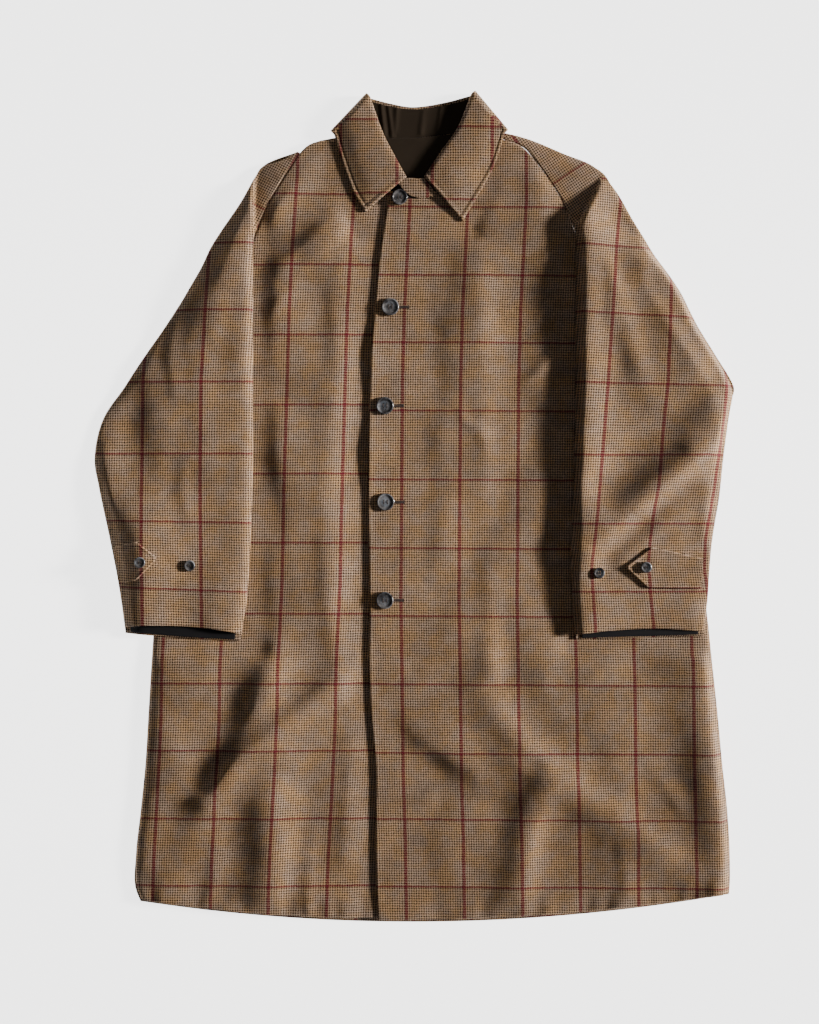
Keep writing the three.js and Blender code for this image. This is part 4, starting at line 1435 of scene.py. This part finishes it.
def mirrored(x, y, a, b):
    """The places reflected in the line through a and b."""
    direction = (np.array(b, float) - a) / np.hypot(b[0] - a[0], b[1] - a[1])
    along = (x - a[0]) * direction[0] + (y - a[1]) * direction[1]
    return 2 * (a[0] + along * direction[0]) - x, 2 * (a[1] + along * direction[1]) - y


def check_right_leaf(x, y):
    return (x + 92) / 71.0, (y - 396) / 92.0


def check_left_leaf(x, y):
    return (x - 23.5) / 75.5, (y - 388) / 91.0


def fall_check(columns, labels):
    def uv(corners, faces):
        x = corners[..., 0]
        y = corners[..., 1]
        station = (faces % (len(labels) * columns)) // columns
        label = labels[station].max(axis=1)
        low = labels[station].min(axis=1)
        right_back = mirrored(x, y, (-55.3, 516), (-101.4, 470.7))
        left_back = mirrored(x, y, (71.5, 519.4), (114.3, 472.2))
        middle = x.mean(axis=1, keepdims=True)
        on_neck = (low == NECK_PART) & (label == NECK_PART)
        on_right = (low < NECK_PART)[:, None] | on_neck[:, None] & (middle < 1.5)
        behind = ((low >= FIRST_TURN) & (low <= LAST_TURN))[:, None]
        p_right, q_right = check_right_leaf(x, y)
        p_left, q_left = check_left_leaf(x, y)
        pb_right, qb_right = check_right_leaf(*right_back)
        pb_left, qb_left = check_left_leaf(*left_back)
        p = np.where(on_right, np.where(behind, pb_right, p_right), np.where(behind, pb_left, p_left))
        q = np.where(on_right, np.where(behind, qb_right, q_right), np.where(behind, qb_left, q_left))
        return np.stack([p, q], -1)

    return uv


LEAF_SIZE = 68.0
LEAF_STITCH = 5.5


def leaf_detail(share, end):
    """The leaf turns over at the roll, sinks along its stitching and rounds off at its rims."""
    from_edge = (1 - share) * LEAF_SIZE
    stitch = stitched_edge(from_edge, LEAF_STITCH, groove=0.6, ridge=0.5)
    stitch = stitch + stitched_edge(np.full_like(share, end), LEAF_STITCH, groove=0.6, ridge=0.5)
    from_rim = np.minimum(from_edge, end)
    rim = rounding(from_rim, radius=1.5)
    roll = rounding(share * LEAF_SIZE, radius=9.0)
    swell = 2.0 * np.sin(math.pi * share) ** 2
    sunk = 1.5 * np.exp(-((from_rim / 20) ** 2))
    return swell + stitch - 0.6 * rim - 3.6 * roll - sunk


SHARES = np.concatenate([
    [0, 0.006, 0.016, 0.03, 0.05, 0.08, 0.11],
    np.linspace(0.15, 0.86, 24),
    [0.885, 0.905, 0.92, 0.935, 0.955, 0.975, 0.988, 0.995, 1],
])
fall_outer, fall_inner, fall_labels = collar_band(
    LEAF_RIGHT, FALL_BACK, LEAF_LEFT, COLLAR_WALL, back_height=0.0, step=2.0, shares=SHARES,
    detail=leaf_detail,
)
fall_points = np.concatenate([fall_outer.reshape(-1, 3), fall_inner.reshape(-1, 3)])
collar = make_object(
    "cloth_collar_fall",
    fall_points,
    sheet_faces(*fall_outer.shape[:2]),
    fall_check(len(SHARES), fall_labels),
    WOOL,
)
dress(collar, "wool_check", "collar_fall")


def no_detail(share, _end):
    return 0 * share


STAND_SHARES = np.concatenate([[0, 0.02, 0.045], np.linspace(0.08, 0.92, 22), [0.955, 0.98, 1]])
stand_outer, stand_inner, stand_labels = collar_band(
    STAND_RIGHT, STAND_BACK, STAND_LEFT, STAND_WALL, COLLAR_LIFT, step=1.6, shares=STAND_SHARES,
    detail=no_detail,
)
STAND_CREASES = [
    fold(2.2, 3.2, (-42, 508, 1.2), (-38, 470, 1.6)),
    fold(2.0, 2.6, (-33, 506, 0.9), (-28, 468, 1.2)),
    fold(2.6, 3.0, (-22, 505, 1.0), (-24, 474, 0.5)),
    fold(3.0, 4.0, (12, 503, 0.4), (8, 472, 0.9)),
    fold(2.2, 3.0, (34, 506, 0.8), (30, 474, 0.6)),
]


def crease_stand(points):
    """Small upright creases in the stand's inside at the back of the neck."""
    x = points[..., 0]
    y = points[..., 1]
    back_only = (stand_labels == NECK_PART)[:, None]
    points[..., 2] += np.where(back_only, fold_height(STAND_CREASES, x, y), 0)


crease_stand(stand_outer)
crease_stand(stand_inner)
# The stand's front end, past the neck seam of the leaf, is of the check; the rest is lined
CHECKED_END = 22.0
end_place = stand_outer[:, len(STAND_SHARES) // 2]
checked = (stand_labels == LAST_LEAF) & (end_place[:, 0] < CHECKED_END)
first_checked = int(np.argmax(checked))


def stand_piece(name, rows, uv, material, slot):
    """The part of the stand between two of its stations, closed at its ends."""
    outer = stand_outer[rows]
    points = np.concatenate([outer.reshape(-1, 3), stand_inner[rows].reshape(-1, 3)])
    obj = make_object(name, points, sheet_faces(*outer.shape[:2]), uv, material)
    return dress(obj, slot, "collar_stand")


def end_check(corners, _faces):
    return np.stack(check_left_leaf(corners[..., 0] + 6, corners[..., 1] + 14), -1)


stand = stand_piece("cloth_collar_stand", slice(0, first_checked), None, LINING, "body_lining")
stand_end = stand_piece("cloth_stand_end", slice(first_checked, None), end_check, WOOL, "wool_check")

# Cuff tabs, on the sleeves

TAB_ON_LEFT = table("""
  xl yl xr yr bow
  267 -78 267.5 -73.5 0
  292.8 -101.9 297.9 -50.6 0
  360.7 -103.4 363 -65.1 0""")
TAB_ON_RIGHT = table("""
  xl yl xr yr bow
  324.3 -67 324 -62.5 0
  348 -92 348 -44 0
  371 -97 377 -50 0""")
TAB_CLEARANCE = 0.7
TAB_STEP = 2.5
TAB_CHECK_SHIFT = 4.5


def sleeve_top(sleeve):
    """The height of a sleeve's upper side at any place on it."""
    rows = sleeve["front"].rows
    hand = sleeve["hand"]

    def top(x, y):
        inner = np.interp(y, rows["yl"], rows["xl"])
        outer = np.interp(y, rows["yr"], rows["xr"])
        from_body = np.maximum(0, x - inner)
        from_outer = np.maximum(0, outer - x)
        return sleeve_front_under(hand, x, y, from_body, from_outer) + SLEEVE_WALL

    return top


def straight_rows(rows, at):
    """The rows of a table at places along it, with straight lines between them."""
    spots = row_spots(rows)
    return {key: np.interp(at, spots, rows[key]) for key in rows}


def build_tab(label, rows):
    """A pointed tab that follows the sleeve under it."""
    sleeve = sleeves[label]
    top = sleeve_top(sleeve)
    side = sleeve["hand"]["side"]
    along = places_along(row_spots(rows)[-1], TAB_STEP)
    s = {key: value[:, None] for key, value in straight_rows(rows, along).items()}
    near_rim = np.array([0, 0.02, 0.045, 0.08])
    share = np.concatenate([near_rim, np.linspace(0.13, 0.87, 14), 1 - near_rim[::-1]])[None]
    x = mix(s["xl"], s["xr"], share)
    y = mix(s["yl"], s["yr"], share)
    width = np.hypot(s["xr"] - s["xl"], s["yr"] - s["yl"])
    rim = np.minimum(np.minimum(share * width, (1 - share) * width), along[:, None] + 0 * x)
    base = top(x, y) + TAB_CLEARANCE
    turn = rounding(rim, radius=1.4)
    stitch = stitched_edge(rim, inset=5.0, groove=0.5, ridge=0.25)
    upper = base + TAB_WALL + stitch - 0.6 * TAB_WALL * turn
    lower = base + 0.2 * TAB_WALL * turn
    points = np.concatenate([
        np.stack([side * x, y, upper], 2).reshape(-1, 3),
        np.stack([side * x, y, lower], 2).reshape(-1, 3),
    ])

    def uv(corners, _faces):
        return np.stack(sleeve["check"](side * corners[..., 0], corners[..., 1] - TAB_CHECK_SHIFT), -1)

    obj = make_object(f"cloth_cuff_tab_{label}", points, sheet_faces(*x.shape), uv, WOOL)
    return dress(obj, "wool_check", f"cuff_tab_{label}")


tab_left = build_tab("left", TAB_ON_LEFT)
tab_right = build_tab("right", TAB_ON_RIGHT)

# Buttons: turned discs with a raised rim, four holes and two parallel pairs of thread between them


BUTTON_SIDES = 64
HOLE_SIDES = 20
# Shares of a button's radius: how wide its holes are, and how far from its middle along x and y
HOLE_SIZE = 0.085
HOLE_PLACE = 0.2
# The heights that the profile below is drawn for: the whole disc, and its hollow
DISC_HEIGHT = 3.4
SEAT_HEIGHT = 2.2


def turned(profile, count):
    """A surface turned round Z from a profile of radius and height, closed by a face at each end."""
    angles = np.linspace(0, 2 * math.pi, count, endpoint=False)
    points = [(r * math.cos(a), r * math.sin(a), h) for r, h in profile for a in angles]
    faces = []
    for k in range(len(profile) - 1):
        for m in range(count):
            a = k * count + m
            b = k * count + (m + 1) % count
            faces.append((a, b, b + count, a + count))
    top = (len(profile) - 1) * count
    faces.append(tuple(range(top, top + count)))
    faces.append(tuple(range(count))[::-1])
    return np.array(points), faces


def build_button(node, material):
    """A horn button in the box of its node; gives its middle, the height of its hollow and its radius."""
    low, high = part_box(node)
    centre = (np.array(low) + np.array(high)) / 2 / MM
    radius = (high[1] - low[1]) / 2 / MM
    height = (high[2] - low[2]) / MM
    floor = low[2] / MM
    k = height / DISC_HEIGHT
    profile = [
        (radius - 1.2, 0), (radius - 0.6, 0.1), (radius - 0.15, 0.5), (radius, 1.1), (radius, 2.1),
        (radius - 0.15, 2.7), (radius - 0.5, 3.15), (radius - 1.0, 3.38), (radius - 1.6, 3.3),
        (radius - 2.2, 2.95), (radius * 0.72, 2.45), (radius * 0.62, 2.25), (radius * 0.5, 2.18),
    ]
    profile = [(r, h * k) for r, h in profile]
    points, faces = turned(profile, BUTTON_SIDES)
    mesh = bpy.data.meshes.new(f"horn_{node}")
    points = points + np.array([centre[0], centre[1], floor])
    mesh.from_pydata((points * MM).tolist(), [], faces)
    obj = new_object(f"horn_{node}", mesh)
    cut_holes(obj, centre, floor, radius, height)
    obj.data.materials.append(material)
    obj.data.polygons.foreach_set("use_smooth", np.ones(len(obj.data.polygons), bool))
    obj.data.set_sharp_from_angle(angle=math.radians(40))
    dress(obj, "horn", node)
    return centre, floor + SEAT_HEIGHT * k, radius


def cut_holes(obj, centre, floor, radius, height):
    """Four round holes, cut with a boolean and applied."""
    offset = radius * HOLE_PLACE
    drill = [(radius * HOLE_SIZE, -1), (radius * HOLE_SIZE, height + 1)]
    drill_points, drill_faces = turned(drill, HOLE_SIDES)
    points = []
    faces = []
    for sx, sy in ((1, 1), (1, -1), (-1, 1), (-1, -1)):
        start = len(points) * len(drill_points)
        points.append(drill_points + np.array([centre[0] + sx * offset, centre[1] + sy * offset, floor]))
        faces += [tuple(start + corner for corner in face) for face in drill_faces]
    mesh = bpy.data.meshes.new("holes")
    mesh.from_pydata((np.concatenate(points) * MM).tolist(), [], faces)
    cutter = new_object("holes", mesh)
    modifier = obj.modifiers.new("holes", "BOOLEAN")
    modifier.object = cutter
    modifier.operation = "DIFFERENCE"
    modifier.solver = "EXACT"
    evaluated = obj.evaluated_get(bpy.context.evaluated_depsgraph_get())
    cut = bpy.data.meshes.new_from_object(evaluated)
    obj.modifiers.clear()
    obj.data = cut
    bpy.data.objects.remove(cutter)


def cord_between(a, b, radius, arch, count=9):
    """A short arched tube of thread from a to b."""
    t = np.linspace(0, 1, count)
    centre = mix(np.array(a)[None], np.array(b)[None], t[:, None])
    centre[:, 2] += arch * np.sin(math.pi * t)
    direction = np.gradient(centre, axis=0)
    direction /= np.linalg.norm(direction, axis=1)[:, None]
    across = np.stack([-direction[:, 1], direction[:, 0], 0 * t], 1)
    across /= np.linalg.norm(across, axis=1)[:, None]
    up = np.cross(direction, across)
    offset = directions_round(CORD_SIDES, across[:, None], up[:, None])
    points = (centre[:, None] + radius * offset).reshape(-1, 3)
    last = (count - 1) * CORD_SIDES
    first_cap = np.array([[7, 6, 5, 4], [7, 4, 3, 0], [0, 3, 2, 1]])
    last_cap = last + np.array([[0, 1, 2, 3], [0, 3, 4, 7], [4, 5, 6, 7]])
    return points, np.concatenate([tube_faces(count, CORD_SIDES), first_cap, last_cap])


# The threads of a button lie in pairs, this far on each side of its holes' middle
THREAD_SPREAD = 0.35
BUTTON_NODES = sorted(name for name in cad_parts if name.startswith("button_"))
thread_sets = []
for index, node in enumerate(BUTTON_NODES):
    material = horn(f"horn_{index}", (0.05 * index, 0.03 * index, 0.0))
    centre, seat, radius = build_button(node, material)
    offset = radius * HOLE_PLACE
    for twist in (-THREAD_SPREAD, THREAD_SPREAD):
        for sx in (1, -1):
            a = (centre[0] + sx * offset + twist, centre[1] - offset, seat - 0.5)
            b = (centre[0] + sx * offset + twist, centre[1] + offset, seat - 0.5)
            thread_sets.append(cord_between(a, b, radius=0.32, arch=1.0))
button_thread = join_runs("thread_in_buttons", thread_sets, DARK_THREAD)
dress(button_thread, "wool_check")

# Stitching and buttonholes


def panel_top(panel, x, y):
    """The height of a panel's upper side at places on it."""
    rows = panel.rows
    left = np.maximum(0, x - np.interp(y, rows["yl"], rows["xl"]))
    right = np.maximum(0, np.interp(y, rows["yr"], rows["xr"]) - x)
    low = 0 * x + 200
    return panel.height(x, y, left, right, low, low) + panel.wall


def short_thread(a, b, radius, arch):
    return cord_between(a, b, radius, arch, count=5)


HOLE_LENGTH = 22.5
HOLE_PITCH = 0.62
HOLE_HALF_WIDTH = 1.5
BAR_HALF_WIDTH = 2.1
BAR_THREADS = 3


def front_left_top(x, y):
    """The height just over the left front at one place."""
    return float(panel_top(front_left, np.array([x]), np.array([y]))[0]) + 0.05


def buttonhole(centre):
    """Close stitches round a slit from the button's middle towards +X, with a bar at its end."""
    runs = []
    y = centre[1]
    for sign in (1, -1):
        for k in range(int(HOLE_LENGTH / HOLE_PITCH)):
            x = centre[0] + 1 + k * HOLE_PITCH + RANDOM.uniform(-0.08, 0.08)
            z = front_left_top(x, y)
            near = (x, y + sign * 0.25, z - 0.1)
            far_x = x + RANDOM.uniform(-0.15, 0.15)
            far_y = y + sign * (HOLE_HALF_WIDTH + RANDOM.uniform(-0.1, 0.35))
            runs.append(short_thread(near, (far_x, far_y, z - 0.15), radius=0.3, arch=0.42))
    tip = centre[0] + HOLE_LENGTH
    z = front_left_top(tip, y) - 0.15
    for k in range(BAR_THREADS):
        x = tip + 0.2 + k * 0.5
        low = (x, y - BAR_HALF_WIDTH, z)
        high = (x, y + BAR_HALF_WIDTH, z)
        runs.append(short_thread(low, high, radius=0.32, arch=0.5))
    return runs


hole_runs = []
for node in BUTTON_NODES:
    if node.startswith("button_front_"):
        low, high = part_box(node)
        hole_runs += buttonhole((np.array(low) + np.array(high)) / 2 / MM)
dress(join_runs("thread_buttonholes", hole_runs, DARK_THREAD), "wool_check")

STITCH_GAP = 0.8
STITCH_LIFT = 0.05
stitch_runs = []
spots = np.linspace(4, front_left.length - 4, 900)
placket_line = front_left.line(spots, PLACKET_STITCH)
stitch_runs.append(thread_runs(placket_line, 2.4, STITCH_GAP, radius=0.26, lift=STITCH_LIFT))


def leaf_line(rows_range, share):
    """Points along the upper side of a collar leaf at a share of its width."""
    k = np.searchsorted(SHARES, share)
    t = (share - SHARES[k - 1]) / (SHARES[k] - SHARES[k - 1])
    return mix(fall_outer[rows_range, k - 1], fall_outer[rows_range, k], t)


edge_share = 1 - LEAF_STITCH / LEAF_SIZE
for label, near_end in ((FIRST_LEAF, 3), (LAST_LEAF, -4)):
    rows = np.where(fall_labels == label)[0]
    keep = rows[3:-2] if label == FIRST_LEAF else rows[2:-3]
    outside = leaf_line(keep, edge_share)
    end_row = rows[near_end]
    inside = fall_outer[end_row, (SHARES > 0.08) & (SHARES < edge_share)]
    for line in (outside, inside):
        stitch_runs.append(thread_runs(line, 2.2, STITCH_GAP, radius=0.24, lift=STITCH_LIFT))
dress(join_runs("thread_topstitching", stitch_runs, BROWN_THREAD), "wool_check")

# The floor, light and camera

FLOOR_HALF = 3000.0
FLOOR_LEVEL = -0.2
corners = [(x * FLOOR_HALF, y * FLOOR_HALF, FLOOR_LEVEL) for x, y in ((-1, -1), (1, -1), (1, 1), (-1, 1))]
floor = make_object("floor", np.array(corners), np.array([[0, 1, 2, 3]]))
paper = Nodes("floor_paper")
paper_noise = paper.noise(paper.place(), 60.0, 3.0, 0.5)
paper_colour = paper.mix(paper_noise, (0.86, 0.86, 0.86, 1), (0.9, 0.9, 0.9, 1))
paper.feed(paper.shader.inputs["Base Color"], paper_colour)
paper.give({"Roughness": 0.9, "Emission Color": (1, 1, 1, 1), "Emission Strength": 3.0})
floor.data.materials.append(paper.material)


def area_light(name, place, target, size, energy, colour):
    data = bpy.data.lights.new(name, "AREA")
    data.shape = "DISK"
    data.size = size
    data.energy = energy
    data.color = colour
    lamp = new_object(name, data)
    lamp.location = place
    direction = np.array(target) - np.array(place)
    yaw = math.atan2(direction[1], direction[0])
    tilt = math.acos(-direction[2] / np.linalg.norm(direction))
    lamp.rotation_euler = (tilt, 0, yaw - math.pi / 2)


# A low window on the +X side, so each fold shows
SUN_ELEVATION = math.radians(15)
SUN_AZIMUTH = math.radians(6)
sun_data = bpy.data.lights.new("window", "SUN")
sun_data.energy = 7.4
sun_data.angle = math.radians(9)
sun_data.color = (1.0, 0.965, 0.92)
sun = new_object("window", sun_data)
sun.rotation_euler = (0, math.pi / 2 - SUN_ELEVATION, SUN_AZIMUTH)
# A second soft window light, strongest in the middle of the coat
POOL_MIDDLE = (0.0, 0.02, 0.01)
POOL_DISTANCE = 3.5
POOL_ACROSS = 0.46
POOL_ALONG = 0.56
towards = np.array([
    math.cos(SUN_ELEVATION) * math.cos(SUN_AZIMUTH),
    math.cos(SUN_ELEVATION) * math.sin(SUN_AZIMUTH),
    math.sin(SUN_ELEVATION),
])
pool_data = bpy.data.lights.new("window_pool", "SPOT")
pool_data.energy = 1500.0
pool_data.color = sun_data.color
pool_data.shadow_soft_size = POOL_DISTANCE * math.tan(sun_data.angle / 2)
pool_data.spot_size = 2 * math.atan(POOL_ALONG / POOL_DISTANCE)
pool_data.spot_blend = 1.0
pool = new_object("window_pool", pool_data)
pool.location = np.array(POOL_MIDDLE) + POOL_DISTANCE * towards
pool.rotation_euler = sun.rotation_euler
pool.scale = (POOL_ACROSS * math.sin(SUN_ELEVATION) / POOL_ALONG, 1, 1)
area_light("fill", (0.6, 0.8, 2.4), (0, 0, 0), size=1.6, energy=2.6, colour=(1.0, 0.97, 0.92))
area_light("sky", (0.1, 0.06, 2.7), (0, 0, 0), size=0.55, energy=1.6, colour=(0.72, 0.84, 1.0))
world = bpy.data.worlds.new("studio")
world.use_nodes = True
world.node_tree.nodes["Background"].inputs[0].default_value = (1, 1, 1, 1)
world.node_tree.nodes["Background"].inputs[1].default_value = 0.06
bpy.context.scene.world = world

# The camera looks straight down: the photo's height and middle on the coat in metres, the lens in mm
PHOTO_HEIGHT = 1.290
PHOTO_CENTRE = (-0.006, -0.0066)
LENS = 70.0
SENSOR = 36.0
COAT_MIDDLE_HEIGHT = 0.01
camera_data = bpy.data.cameras.new("camera")
camera_data.lens = LENS
camera_data.sensor_width = SENSOR
camera = new_object("camera", camera_data)
camera.location = (*PHOTO_CENTRE, PHOTO_HEIGHT * LENS / SENSOR + COAT_MIDDLE_HEIGHT)
bpy.context.scene.camera = camera
